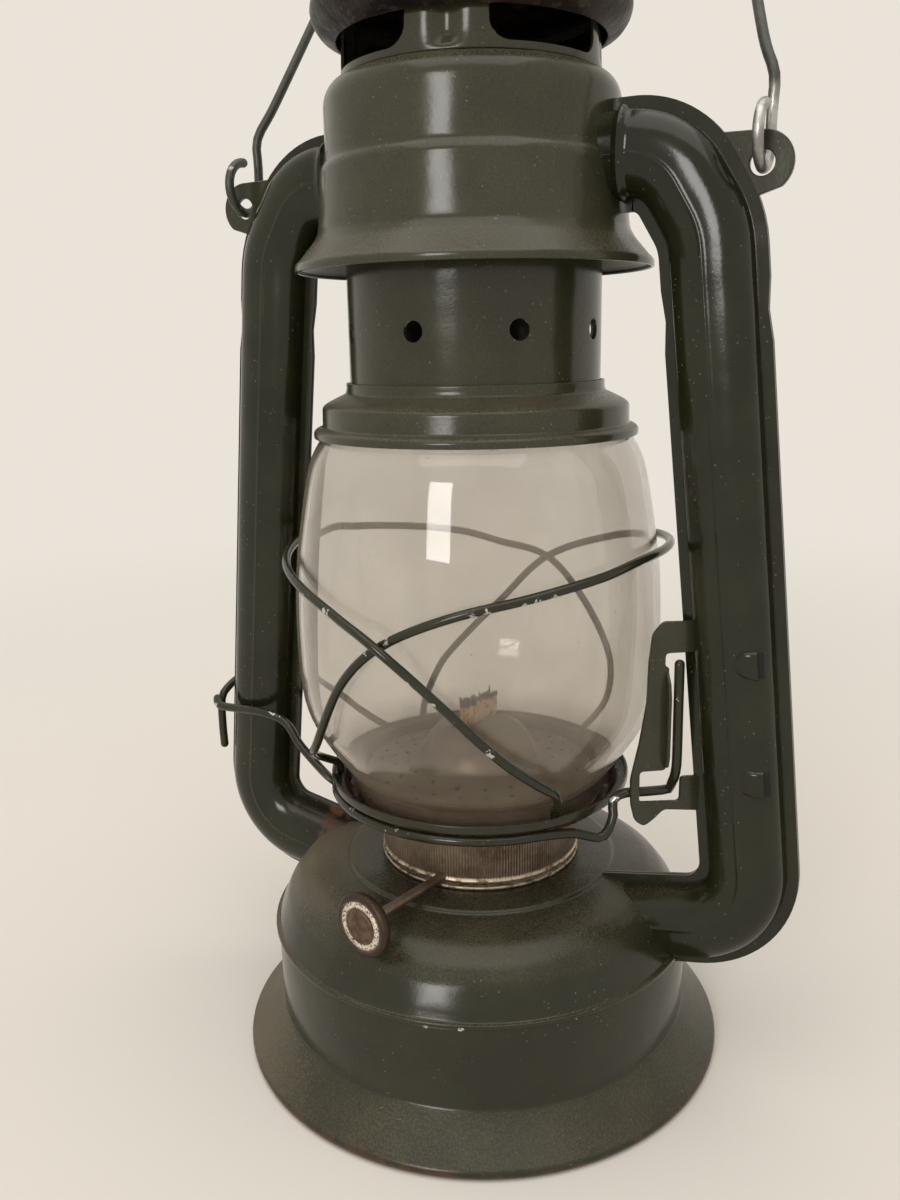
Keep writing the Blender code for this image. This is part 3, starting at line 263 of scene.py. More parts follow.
RIM_CHIPS = [(0.0009, -0.0372, 0.1814), (0.0097, -0.0359, 0.1812), (0.0210, -0.0307, 0.1814), (0.0022, -0.0371, 0.1840)]
SEAM_CHIPS = [(0.0179, -0.0461, 0.0295), (0.0376, -0.0322, 0.0292), (0.0110, -0.0484, 0.0292)]
WIRE_CHIPS = [(0.0182, -0.0386, 0.1140), (0.0203, -0.0376, 0.1143), (0.0262, -0.0337, 0.1158), (0.0283, -0.0321, 0.1161),
              (0.0306, -0.0298, 0.1166), (0.0017, -0.0427, 0.1077), (-0.0005, -0.0445, 0.1067), (0.0010, -0.0445, 0.1049),
              (0.0061, -0.0438, 0.1000), (0.0106, -0.0422, 0.0959), (0.0211, -0.0381, 0.0861), (-0.0224, -0.0373, 0.1131),
              (-0.0132, -0.0414, 0.1117), (0.0477, -0.0070, 0.0815), (0.0481, -0.0070, 0.0746)]
GREEN = enamel("olive enamel", 0.19, 0.40)
GREEN_WIRE = enamel("olive enamel on wire", 0.08, 0.22, chips=0.28, scars=WIRE_CHIPS, scar_size=0.0023)
GREEN_TANK = enamel("olive enamel of the tank", 0.085, left_dust_and_light, rust=low_rim, scars=SEAM_CHIPS, scar_size=0.0017)
GREEN_TOP = enamel("olive enamel of the drum", 0.25, 0.58, scars=RIM_CHIPS, scar_size=0.0013)
# The tubes get almost no pale haze, so their enamel is darker than the drum's: painted shade for the dark room that
# they reflect.
GREEN_TUBE_SHADED = enamel("olive enamel of the tubes, darkened as painted shade", 0.012, 0.32, rust=seam_rust)
print("enamels:", len(bpy.data.materials))

# %% [markdown]
# The burner is bare tinplate that has gone brown.  Its collar is knurled with fine upright
# ribs so that it can be unscrewed by hand, and the ribs are far too fine to model one by
# one: they are a saw of the bearing round the axis, used as relief.

# %% Tinplate, knob, cap, spring
def tinplate(name, ribs=0, tone=1.0, dust=0.5):
    tin = Finish(name)
    stains = tin.grain(90.0, 6.0).ramp(0.3, 0.7)
    fine = tin.grain(700.0, 5.0)
    base = tin.mix((0.30 * tone, 0.235 * tone, 0.170 * tone), (0.125 * tone, 0.084 * tone, 0.054 * tone), stains)
    base = tin.mix(base, RUST, tin.grain(210.0, 6.0).ramp(0.60, 0.72) * 0.7)
    settled = tin.facing_up() * tin.grain(160.0, 5.0).ramp(0.3, 0.6) * dust
    base = tin.mix(base, DUST, settled)
    height = fine * 0.25 + stains * 0.2
    if ribs:
        turn = tin.round_axis() * ribs
        knurl = turn.sum("SINE", turn)
        band = tin.z.ramp(0.0480, 0.0490) * (1 - tin.z.ramp(0.0575, 0.0585))
        height = height + knurl * band * 0.45
        bead = 1 - tin.z.ramp(0.0480, 0.0489)
        base = tin.mix(base, (0.72, 0.61, 0.46), bead * fine.ramp(0.35, 0.55) * 0.9)
        base = tin.mix(base, (0.46, 0.39, 0.30), knurl.ramp(0.55, 1.0) * band * fine.ramp(0.42, 0.62) * 0.5)
    tin.relief(height, 0.5, 0.0004)
    return tin.set(Base_Color=base, Roughness=0.34 + stains * 0.22 + settled * 0.3,
                   Metallic=0.85 - settled * 0.8).material


TIN = tinplate("browned tinplate")
TIN_COLLAR = tinplate("knurled tinplate", ribs=220, tone=0.8)
TIN_INSIDE = tinplate("sooty tinplate", tone=0.75, dust=0.9)

browned = Finish("heat-browned enamel", Specular_IOR_Level=0.2)
patches = browned.grain(120.0, 7.0).ramp(0.35, 0.65)
flakes = browned.grain(330.0, 5.0).ramp(0.56, 0.66)
brown = browned.mix((0.006, 0.0048, 0.004), (0.017, 0.010, 0.0065), patches)
brown = browned.mix(brown, (0.080, 0.050, 0.036), flakes * 0.35)
brown = browned.mix(brown, DUST, browned.facing_up() * browned.grain(90.0, 5.0).ramp(0.30, 0.70) * 0.45)
browned.relief(patches + flakes * 0.5, 0.4, 0.0006)
BROWN = browned.set(Base_Color=brown, Roughness=0.30 + patches * 0.2).material

drawn = Finish("drawn spring steel", Metallic=0.9)
streaks = drawn.grain(240.0, 4.0)
DRAWN = drawn.set(Base_Color=drawn.mix((0.28, 0.26, 0.23), (0.12, 0.08, 0.05), streaks.ramp(0.45, 0.65)),
                  Roughness=0.3 + streaks * 0.3).material
print("metals are ready")

# %% [markdown]
# The globe is pressed soda glass.  Clean glass is all gloss and no colour, so what makes it
# visible here is years of grey dust and a faint brown stain near its foot.  A Mix Shader
# lays a thin matt film over clear glass, and the film's thickness is the mask.

# %% Glass and wick
clear = Finish("dusty glass", Roughness=0.02, IOR=1.46, Transmission_Weight=1.0)
clear.set(Base_Color=(0.93, 0.915, 0.885))
drifts = clear.grain(26.0, 5.0).ramp(0.25, 0.8)
flecks = clear.spots(300.0, 0.04, 0.09) * clear.grain(60.0).ramp(0.52, 0.6)
foot_stain = (1 - clear.z.ramp(0.0655, 0.0760)) * clear.grain(90.0, 5.0).ramp(0.30, 0.70, 0.55, 1.0)
film = clear.node("ShaderNodeBsdfPrincipled", {},
                  {"Base Color": clear.mix((0.46, 0.395, 0.31), (0.17, 0.105, 0.052), foot_stain), "Roughness": 0.9})
grime = 0.09 + drifts * 0.12 + foot_stain * 0.42 + flecks * 0.35
coated = clear.node("ShaderNodeMixShader", {}, {0: grime, 1: Field(clear, clear.shader.outputs[0]), 2: film})
clear.tree.links.new(coated.socket, clear.tree.nodes["Material Output"].inputs["Surface"])
GLASS = clear.material

cotton = Finish("charred cotton", Roughness=0.95)
threads = cotton.node("ShaderNodeTexWave", {"bands_direction": "X"},
                      {"Vector": cotton.stretched(1, 1, 0.06), "Scale": 620.0, "Distortion": 2.5, "Detail": 2.0})
char = (cotton.z + cotton.grain(420.0, 4.0) * 0.0040).ramp(0.0834, 0.0846)
fibre = cotton.mix((0.78, 0.50, 0.25), (0.26, 0.13, 0.06), cotton.grain(520.0, 5.0).ramp(0.48, 0.68))
cotton.relief(threads, 0.8, 0.0004)
COTTON = cotton.set(Base_Color=cotton.mix(fibre, (0.060, 0.028, 0.012), char)).material
print("glass and wick are ready")

# %% [markdown]
# Most of a lantern is spun or pressed sheet, so most pieces here start as a line in the
# (radius, height) plane.  `sheet` gives the line its thickness, `eased` rounds its corners
# so that every edge catches a thin highlight, and `spun` turns it round the axis.

# %% Helpers for shapes
SHEET = 0.0006


def finished(name, bm, finish, body, nodes=(), crease=38):
    """Makes a piece of a mesh, hangs it on its body and lets it stand for its CAD nodes."""
    bmesh.ops.remove_doubles(bm, verts=bm.verts, dist=0.0000005)
    bmesh.ops.recalc_face_normals(bm, faces=bm.faces)
    mesh = bpy.data.meshes.new(name)
    bm.to_mesh(mesh)
    bm.free()
    mesh.shade_smooth()
    mesh.set_sharp_from_angle(angle=radians(crease))
    made = bpy.data.objects.new(name, mesh)
    mesh.materials.append(finish)
    scene.collection.objects.link(made)
    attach(made, body)
    if nodes:
        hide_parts(*nodes)
    print("%s: %d faces" % (name, len(mesh.polygons)))
    return made


def offset_line(line, distance):
    """Open line moved to the left of its travel, with mitred corners."""
    moved = []
    for i, point in enumerate(line):
        here, sides = Vector(point), []
        for a, b in ((i - 1, i), (i, i + 1)):
            if a >= 0 and b < len(line):
                run = Vector(line[b]) - Vector(line[a])
                sides.append(Vector((-run.y, run.x)).normalized())
        middle = sum(sides, Vector((0, 0))).normalized()
        moved.append(tuple(here + middle * distance / max(middle.dot(sides[0]), 0.4)))
    return moved


def sheet(line, thickness=SHEET):
    return list(line) + [(max(r, 0.0), z) for r, z in offset_line(line, thickness)][::-1]


def eased(outline, radius=0.0004, closed=True):
    """Outline with its corners rounded."""
    soft, n = [], len(outline)
    for i in range(n):
        here = Vector(outline[i])
        a, b = Vector(outline[i - 1]) - here, Vector(outline[(i + 1) % n]) - here
        if (not closed and i in (0, n - 1)) or min(a.length, b.length) < 0.00002 or a.angle(-b) < radians(9):
            soft.append(here)
            continue
        cut = min(radius, a.length * 0.45, b.length * 0.45)
        p, q = here + a.normalized() * cut, here + b.normalized() * cut
        soft += [p * (1 - t) ** 2 + here * (2 * t * (1 - t)) + q * t ** 2 for t in (0, 0.25, 0.5, 0.75, 1)]
    return soft


def turn_outline(bm, outline, sides=144, shape=None, place=(0, 0)):
    """Turns a closed (r, z) outline round Z; shape may move each point by its bearing."""
    rings = []
    for i in range(sides):
        a = tau * i / sides
        ring = [shape(r, z, a) if shape else (r, z) for r, z in outline]
        rings.append([bm.verts.new((place[0] + r * cos(a), place[1] + r * sin(a), z)) for r, z in ring])
    for one, two in zip(rings, rings[1:] + rings[:1]):
        for k in range(len(outline)):
            bm.faces.new((one[k - 1], two[k - 1], two[k], one[k]))


def spun(name, line, finish, body, *nodes, slot="green", thickness=SHEET, ease=0.0005, sides=144,
         shape=None, place=(0, 0)):
    bm = bmesh.new()
    turn_outline(bm, eased(sheet(line, thickness), ease), sides, shape, place)
    return finished(name, bm, finish, body, nodes)


def smooth_path(points, step):
    """Points spaced evenly on a smooth curve through the given points."""
    points = [Vector(p) for p in points]
    dense = []
    for i in range(len(points) - 1):
        p1, p2 = points[i], points[i + 1]
        p0 = points[i - 1] if i else p1 * 2 - p2
        p3 = points[i + 2] if i + 2 < len(points) else p2 * 2 - p1
        for k in range(16):
            t = k / 16
            dense.append(0.5 * (2 * p1 + (p2 - p0) * t + (2 * p0 - 5 * p1 + 4 * p2 - p3) * t ** 2
                                + (3 * p1 - p0 - 3 * p2 + p3) * t ** 3))
    dense.append(points[-1])
    lengths = [0.0]
    for a, b in zip(dense, dense[1:]):
        lengths.append(lengths[-1] + (b - a).length)
    count, even, k = max(2, round(lengths[-1] / step)), [], 0
    for i in range(count + 1):
        want = lengths[-1] * i / count
        while k < len(lengths) - 2 and lengths[k + 1] < want:
            k += 1
        even.append(dense[k].lerp(dense[k + 1], (want - lengths[k]) / max(lengths[k + 1] - lengths[k], 1e-9)))
    return even


def wire(name, points, radius, finish, body, *nodes, slot="green", sides=14, closed=False):
    """Round wire with domed ends, swept without twist."""
    bm, rings = bmesh.new(), []
    points = [Vector(p) for p in points]
    n = len(points)
    across = None
    for i, p in enumerate(points):
        before = points[i - 1] if i or closed else p
        after = points[(i + 1) % n] if i < n - 1 or closed else p
        way = (after - before).normalized()
        across = (across or way.orthogonal()) - way * (across or way.orthogonal()).dot(way)
        across.normalize()
        up = way.cross(across)
        ends = [(0, 1.0)]
        if not closed and i == 0:
            ends = [(-0.75, 0.35), (-0.45, 0.80), (0, 1.0)]
        if not closed and i == n - 1:
            ends = [(0, 1.0), (0.45, 0.80), (0.75, 0.35)]
        for along, width in ends:
            centre = p + way * radius * along
            rings.append([bm.verts.new(centre + (across * cos(tau * k / sides) + up * sin(tau * k / sides))
                                       * radius * width) for k in range(sides)])
    pairs = list(zip(rings, rings[1:])) + ([(rings[-1], rings[0])] if closed else [])
    for one, two in pairs:
        for k in range(sides):
            bm.faces.new((one[k - 1], one[k], two[k], two[k - 1]))
    if not closed:
        bm.faces.new(rings[0][::-1])
        bm.faces.new(rings[-1])
    return finished(name, bm, finish, body, nodes)


def pressed(name, outline, thickness, to_space, finish, body, *nodes, slot="green", ease=0.0005, holes=()):
    """Flat plate with eased corners and thin chamfers; any holes are chamfered too."""
    bm = bmesh.new()
    rims = ([], [])
    for number, line in enumerate([eased(outline, ease)] + [[Vector(p) for p in hole] for hole in holes]):
        rows = []
        for level, inset in ((-0.5, 0.14), (-0.32, 0.0), (0.32, 0.0), (0.5, 0.14)):
            moved = inset_line(line, thickness * inset * (-1 if number else 1)) if inset else line
            rows.append([bm.verts.new(to_space(p.x, p.y, thickness * level)) for p in moved])
        for one, two in zip(rows, rows[1:]):
            for k in range(len(line)):
                bm.faces.new((one[k - 1], one[k], two[k], two[k - 1]))
        for rim, row in zip(rims, (rows[0], rows[-1])):
            rim += [bm.edges.get((row[k - 1], row[k])) for k in range(len(row))]
    for rim in rims:
        bmesh.ops.triangle_fill(bm, use_beauty=True, edges=rim)
    return finished(name, bm, finish, body, nodes, crease=30)


def inset_line(line, distance):
    """Closed outline moved inwards by a distance."""
    area = sum(a.x * b.y - b.x * a.y for a, b in zip(line, line[1:] + line[:1]))
    side = 1 if area > 0 else -1
    moved = []
    for i, here in enumerate(line):
        run = (line[(i + 1) % len(line)] - line[i - 1])
        moved.append(here + Vector((-run.y, run.x)).normalized() * distance * side if run.length > 0 else here)
    return moved


def pierce(made, tools, crease=38):
    """Takes closed meshes out of a piece, and keeps the result as plain mesh."""
    scratch = []
    for bm in tools:
        bmesh.ops.recalc_face_normals(bm, faces=bm.faces)
        mesh = bpy.data.meshes.new("punch")
        bm.to_mesh(mesh)
        bm.free()
        punch = bpy.data.objects.new("punch", mesh)
        scene.collection.objects.link(punch)
        scratch.append(punch)
        knife = made.modifiers.new("punched", "BOOLEAN")
        knife.operation, knife.solver, knife.object = "DIFFERENCE", "EXACT", punch
    bpy.context.view_layer.update()
    result = bpy.data.meshes.new_from_object(made.evaluated_get(bpy.context.evaluated_depsgraph_get()))
    made.modifiers.clear()
    made.data = result
    result.shade_smooth()
    result.set_sharp_from_angle(angle=radians(crease))
    for punch in scratch:
        bpy.data.objects.remove(punch, do_unlink=True)
    print("%s: %d faces once pierced" % (made.name, len(result.polygons)))


# %% [markdown]
# The tank is a drawn wall on a flared foot.  Its lower edge is rolled over a bead so that
# it can't cut, and that bead is what the lantern stands on.

# %% Tank
roll = [(0.0555 + 0.0015 * cos(radians(a)), 0.0015 + 0.0015 * sin(radians(a))) for a in range(-200, 61, 12)]
foot_outline = roll + [(0.0530, 0.0058), (0.0500, 0.0089), (0.0487, 0.0103), (0.0488, 0.0130), (0.0490, 0.0292),
                       (0.0484, 0.0292), (0.0481, 0.0106), (0.0493, 0.0085), (0.0524, 0.0052), (0.0538, 0.0032)]
bm = bmesh.new()
turn_outline(bm, eased(foot_outline, 0.0006), 180)
finished("tank_wall_spun", bm, GREEN_TANK, "lamp", ["tank_wall"])

dome_shares = [(0.997, 0.0), (0.985, 0.13), (0.972, 0.24), (0.945, 0.46), (0.888, 0.71), (0.816, 0.885), (0.735, 0.97)]
dome_line = [(0.049 * r, 0.0307 + (0.0446 - 0.0307) * z) for r, z in dome_shares]
dome_line += [(0.0330, 0.0447), (0.0320, 0.0448), (0.0314, 0.0457), (0.0300, 0.0458), (0.0212, 0.0457)]
dome_line = [(0.0496, 0.0295), (0.0497, 0.0306)] + dome_line
spun("tank_dome_spun", dome_line, GREEN_TANK, "lamp", "tank_dome", slot="dusty_green", ease=0.0012, sides=180)

# %% [markdown]
# The filler sits behind the burner: a short neck with a grooved screw cap that fingers can
# grip.  The cap turns on its own body, so it is its own piece.

# %% Filler cap
filler = (-0.004448, 0.036228)
bm = bmesh.new()
cap_outline = eased([(0.0, 0.0522), (0.0062, 0.0522), (0.0070, 0.0525), (0.0086, 0.0522), (0.0092, 0.0515),
                     (0.0092, 0.0470), (0.0089, 0.0465), (0.0083, 0.0465), (0.0083, 0.0516), (0.0, 0.0516)], 0.0003)


def gripped(r, z, a):
    return (r - 0.00032 * (0.5 + 0.5 * cos(a * 36)) if r > 0.0087 and z < 0.0517 else r, z)


turn_outline(bm, cap_outline, 216, gripped, filler)
finished("filler_cap_grooved", bm, TIN, "filler_cap", ["filler_cap"])

# %% [markdown]
# The burner stands in a socket in the tank.  Its collar flares at the top, where the
# gallery sits on it.  The knurl is in the finish, and the bead at its foot is in the shape.

# %% Burner
spun("burner_socket_spun", [(0.0207, 0.0407), (0.0207, 0.0459), (0.0234, 0.0459), (0.0234, 0.0466)], TIN_COLLAR, "lamp",
     "burner_socket", slot="tin", thickness=0.0005, ease=0.0003)
collar_line = [(0.0199, 0.0420), (0.0199, 0.0473), (0.0229, 0.0473), (0.0234, 0.0478), (0.0230, 0.0484),
               (0.0230, 0.0580), (0.0233, 0.0590), (0.0259, 0.0616), (0.0259, 0.0636)]
spun("burner_collar_knurled", collar_line, TIN_COLLAR, "lamp", "burner_collar", slot="tin", ease=0.0005, sides=192)
dome_r, dome_foot = 0.0136, 0.0684
seat_line = [(0.0266, 0.0649), (0.0266, 0.0662), (0.0230, 0.0666), (0.0150, 0.0683), (0.0140, 0.0688)]
seat_line += [(dome_r * r, dome_foot + 0.0006 + 0.0094 * z) for r, z in
              ((1.0, 0.06), (0.965, 0.22), (0.90, 0.42), (0.76, 0.70), (0.60, 0.86), (0.45, 0.93), (0.2, 0.985), (0, 1))]
seat = spun("flame_plate", seat_line, TIN_INSIDE, "gallery", "burner_cap", slot="tin", ease=0.0006)
turned = Matrix.Rotation(radians(-12), 4, "Z")
slot_tool = bmesh.new()
bmesh.ops.create_cube(slot_tool, size=1)
bmesh.ops.transform(slot_tool, verts=slot_tool.verts, matrix=turned @ Matrix.Translation((0, 0, 0.0770))
                    @ Matrix.Diagonal((0.0046, 0.0154, 0.0060, 1)))
tools = [slot_tool]
for ring_r, count, shift in ((0.0175, 18, 0.0), (0.0205, 22, 0.1), (0.0235, 26, 0.2)):
    drill = bmesh.new()
    for i in range(count):
        pin = bmesh.ops.create_cone(drill, cap_ends=True, segments=10, radius1=0.00055, radius2=0.00055, depth=0.006)
        bmesh.ops.translate(drill, verts=pin["verts"], vec=(ring_r * cos(tau * i / count + shift),
                                                            ring_r * sin(tau * i / count + shift), 0.067))
    tools.append(drill)
pierce(seat, tools)

# %% [markdown]
# The wick is a flat woven tape.  Burning has eaten its end unevenly and let its yarns loose,
# so the tape ends below the slot's edge and two rows of yarns of uneven length go on.

# %% Wick
bm = bmesh.new()
around = [(0.00105 * cos(pi * i / 8), 0.00515 + 0.00105 * sin(pi * i / 8)) for i in range(9)]
around += [(-0.00105 * cos(pi * i / 8), -0.00515 - 0.00105 * sin(pi * i / 8)) for i in range(9)]
tape = [[bm.verts.new(turned @ Vector((x, y, z))) for x, y in around] for z in (0.029, 0.0735, 0.0765, 0.0785)]
for one, two in zip(tape, tape[1:]):
    for k in range(len(around)):
        bm.faces.new((one[k - 1], one[k], two[k], two[k - 1]))
bm.faces.new(tape[0][::-1])
bm.faces.new(tape[-1])


def strand(foot, top, lean, wide, tip):
    """One yarn or loose thread: a round rod that leans over and narrows to its tip."""
    rings = []
    for k in range(9):
        up = k / 8
        centre = foot + Vector((lean.x * up ** 1.6, lean.y * up ** 1.6, (top - foot.z) * up))
        r = wide * (1 - (1 - tip) * up ** 3)
        rings.append([bm.verts.new(turned @ (centre + Vector((r * cos(tau * m / 7), r * sin(tau * m / 7), 0))))
                      for m in range(7)])
    for one, two in zip(rings, rings[1:]):
        for m in range(7):
            bm.faces.new((one[m - 1], one[m], two[m], two[m - 1]))
    bm.faces.new(rings[0][::-1])
    bm.faces.new(rings[-1])


def chance(i, k):
    return noise.noise(Vector((i * 3.71, k * 5.33, 1.9)))


for i in range(28):
    side, y = (1 if i % 2 else -1), -0.0054 + 0.0108 * (i // 2) / 13
    top = 0.0826 + 0.0009 * chance(i, 0) + 0.10 * max(0.0, -y)
    strand(Vector((side * 0.00048, y, 0.0745)), top, Vector((0.0, 0.0)), 0.00062, 0.9)
for i in range(90):
    side, y = (1 if i % 2 else -1), 0.0054 * sin(i * 2.399)
    top = 0.0831 + 0.0016 * chance(i, 4) + 0.10 * max(0.0, -y)
    x, lean = side * (0.00072 + 0.0002 * chance(i, 5)), 0.0010 * chance(i, 7)
    strand(Vector((x, y, 0.0748)), top, Vector((0.00018 * side, lean)), 0.00024, 0.5)
finished("wick_burnt", bm, COTTON, "wick", ["wick"], crease=60)

# %% [markdown]
# The knob is a stamped disc with a raised ring.  Thumbs have worn the ring pale and left
# the rest rust brown, so its finish is a set of bands by the distance from the knob's own
# axis.

# %% Wick knob
knob_at = turned @ Vector((0.0065, -0.0470, 0.0483))
knob_place = Matrix.Translation(knob_at) @ turned @ Matrix.Rotation(pi / 2, 4, "X")
worn = Finish("worn knob steel", Metallic=0.75)
local = worn.node("ShaderNodeVectorMath", {"operation": "SUBTRACT"}, {0: worn.place, 1: tuple(knob_at)})
along = worn.node("ShaderNodeVectorMath", {"operation": "DOT_PRODUCT"},
                  {0: local, 1: (sin(radians(12)), cos(radians(12)), 0.0)}, "Value")
length = worn.node("ShaderNodeVectorMath", {"operation": "LENGTH"}, {0: local}, "Value")
square = length * length - along * along
out_from_axis = square.sum("MAXIMUM", square, 0.0) ** 0.5
ring = out_from_axis.ramp(0.0038, 0.0042) * (1 - out_from_axis.ramp(0.0050, 0.0054))
patchy = worn.grain(2400.0, 4.0, rough=0.7).ramp(0.40, 0.54)
knob_brown = worn.mix((0.150, 0.100, 0.068), (0.085, 0.050, 0.034), worn.grain(420.0, 5.0).ramp(0.4, 0.6))
knob_brown = worn.mix(knob_brown, (0.035, 0.022, 0.016), out_from_axis.ramp(0.0054, 0.0060) * 0.8)
worn.relief(worn.grain(1400.0, 4.0), 0.4, 0.0002)
WORN = worn.set(Base_Color=worn.mix(knob_brown, (0.82, 0.75, 0.63), ring * patchy),
                Roughness=0.46 - ring * patchy * 0.1).material
bm = bmesh.new()
knob_outline = eased([(0, 0.00135), (0.0030, 0.00135), (0.0035, 0.0010), (0.0040, 0.0012), (0.0048, 0.0013),
                      (0.0053, 0.0010), (0.0062, 0.00115), (0.0069, 0.0007), (0.0070, -0.0003), (0.0066, -0.0010),
                      (0.0028, -0.0010), (0.0026, -0.0014), (0.0026, -0.0044), (0.00135, -0.0044), (0.00135, -0.0008),
                      (0.0, -0.0008)], 0.0003)
turn_outline(bm, knob_outline, 72)
bmesh.ops.transform(bm, matrix=knob_place, verts=bm.verts)
finished("wick_knob_worn", bm, WORN, "wick_drive", ["wick_knob"])
shaft_start, shaft_end = turned @ Vector((0.0065, 0.0090, 0.0483)), turned @ Vector((0.0065, -0.0460, 0.0483))
wire("wick_shaft_round", [shaft_start.lerp(shaft_end, k / 12) for k in range(13)], 0.00105, TIN, "wick_drive",
     "wick_shaft", slot="tin")

# %% [markdown]
# The gallery is a ring with a trough.  The globe's foot stands in the trough, and the
# guard wires are rooted in its shoulder.

# %% Gallery and globe


def trough_rust(paint):
    """Rust inside the ring, where the globe's foot stands and water stays."""
    return 1 - (paint.x * paint.x + paint.y * paint.y).ramp(0.00099, 0.00113)


RUSTY_TROUGH = enamel("olive enamel of the gallery", 0.08, 0.4, rust=trough_rust)
gallery_line = [(0.0342, 0.0667), (0.0342, 0.0652), (0.0334, 0.0650), (0.0322, 0.0650), (0.0306, 0.0622), (0.0275, 0.0622),
                (0.0269, 0.0628), (0.0269, 0.0644), (0.0262, 0.0646), (0.0240, 0.0646)]
spun("gallery_ring_spun", gallery_line, RUSTY_TROUGH, "gallery", "gallery_ring", slot="dusty_green", ease=0.0007)

belly = [(0.740, 0.0), (0.840, 0.075), (0.922, 0.145), (0.968, 0.21), (0.991, 0.29), (0.998, 0.40), (0.996, 0.50),
         (0.982, 0.62), (0.940, 0.77), (0.890, 0.90), (0.830, 0.965)]
controls = [(0.0292, 0.0625), (0.0292, 0.0660), (0.0294, 0.0675)]
controls += [(0.0412 * r, 0.0680 + 0.0779 * z) for r, z in belly]
controls += [(0.0325, 0.1458), (0.0323, 0.1475), (0.0323, 0.1501)]
globe_line = [tuple(p.xy) for p in smooth_path([(r, z, 0) for r, z in controls], 0.0016)]
spun("globe_blown", globe_line, GLASS, "gallery", "globe", slot="glass", thickness=0.0015, ease=0.0006, sides=160)

# %% [markdown]
# The plate on the globe and the pierced chimney ride together.  The chimney's holes are
# punched after it is spun, as they are on the real one.

# %% Plate and chimney
plate_line = [(0.0352, 0.1439), (0.0353, 0.1452), (0.0345, 0.1460), (0.0333, 0.1463), (0.0332, 0.1504), (0.0322, 0.1512),
              (0.0300, 0.1523), (0.0282, 0.1531), (0.0279, 0.1540), (0.0279, 0.1554)]
spun("globe_plate_spun", plate_line, GREEN_TOP, "chimney", "globe_plate", slot="dusty_green", ease=0.0006)
chimney_line = [(0.0270, 0.1530 + 0.030 * k / 12) for k in range(13)]
chimney = spun("chimney_pierced", chimney_line, GREEN, "chimney", "chimney")
drill = bmesh.new()
for i in range(8):
    pin = bmesh.ops.create_cone(drill, cap_ends=True, segments=28, radius1=0.0021, radius2=0.0021, depth=0.006)
    shift = radians(-9) if i == 4 else 0
    way = Matrix.Rotation(tau * i / 8 - pi / 2 + shift, 4, "Z") @ Matrix.Rotation(pi / 2, 4, "Y")
    bmesh.ops.transform(drill, verts=pin["verts"], matrix=Matrix.Translation((0, 0, 0.1657)) @ way
                        @ Matrix.Translation((0, 0, 0.0270)))
pierce(chimney, [drill])

# %% [markdown]
# The air drum steps in above its middle and flares into a skirt below.  Its shoulder
# carries the crown, which has four tall windows between fluted pillars.

# %% Air drum, crown, cap
drum_line = [(0.0376, 0.1779), (0.0377, 0.1793), (0.0366, 0.1803), (0.0336, 0.1838), (0.0326, 0.1856), (0.0323, 0.1875),
             (0.0317, 0.1960), (0.0316, 0.1975), (0.0312, 0.1984), (0.0306, 0.1992), (0.0304, 0.2002), (0.0304, 0.2090)]
drum_line += [(0.0265 + 0.0039 * cos(radians(a)), 0.2095 + 0.0051 * sin(radians(a))) for a in range(6, 91, 12)]
spun("air_drum_spun", drum_line, GREEN_TOP, "lamp", "air_drum", ease=0.0007)


def fluted(r, z, a):
    """The crown's wall dips in at the middle of each pillar."""
    off = (a - radians(16) + pi / 4) % (pi / 2) - pi / 4
    foot = min(max((z - 0.2153) / 0.0022, 0.0), 1.0)
    return r - 0.0012 * foot * foot * (3 - 2 * foot) * 2.718 ** -((off / radians(5.6)) ** 2), z


crown_line = [(0.0265, 0.2148)] + [(0.0265 - 0.0005 * k / 10, 0.2160 + 0.0119 * k / 10) for k in range(11)]
crown = spun("crown_fluted", crown_line, GREEN_TOP, "lamp", "crown", sides=216, shape=fluted)
tools = []
for i in range(2):
    a = radians(61) + pi / 2 * i
    out, aside = Vector((cos(a), sin(a), 0)), Vector((-sin(a), cos(a), 0))
    outline = []
    for cu, cv, first in ((0.00865, 0.2226, 0), (-0.00865, 0.2226, 1), (-0.00865, 0.2198, 2), (0.00865, 0.2198, 3)):
        outline += [(cu + 0.0036 * cos(pi / 2 * (first + k / 8)), cv + 0.0036 * sin(pi / 2 * (first + k / 8)))
                    for k in range(9)]
    tool = bmesh.new()
    ends = [[tool.verts.new(out * w + aside * u + Vector((0, 0, v))) for u, v in outline] for w in (-0.03, 0.03)]
    for k in range(len(outline)):
        tool.faces.new((ends[0][k - 1], ends[0][k], ends[1][k], ends[1][k - 1]))
    tool.faces.new(ends[0][::-1])
    tool.faces.new(ends[1])
    tools.append(tool)
pierce(crown, tools)

cap_shares = [(0.945, 0.115), (0.985, 0.235), (1.0, 0.355), (0.992, 0.47), (0.962, 0.60), (0.80, 0.77), (0.62, 0.89), (0.25, 0.985)]
cap_line = [(0.0274, 0.2218)] + [(0.0323 * r, 0.2218 + 0.0154 * z) for r, z in cap_shares] + [(0.0022, 0.2372)]
spun("top_cap_spun", cap_line, BROWN, "lamp", "top_cap", slot="brown", ease=0.0008)

# %% [markdown]
# Under the cap's ring a rod runs down to a spider in the chimney's mouth, inside a light
# coil spring that keeps the plate pressed on the globe.

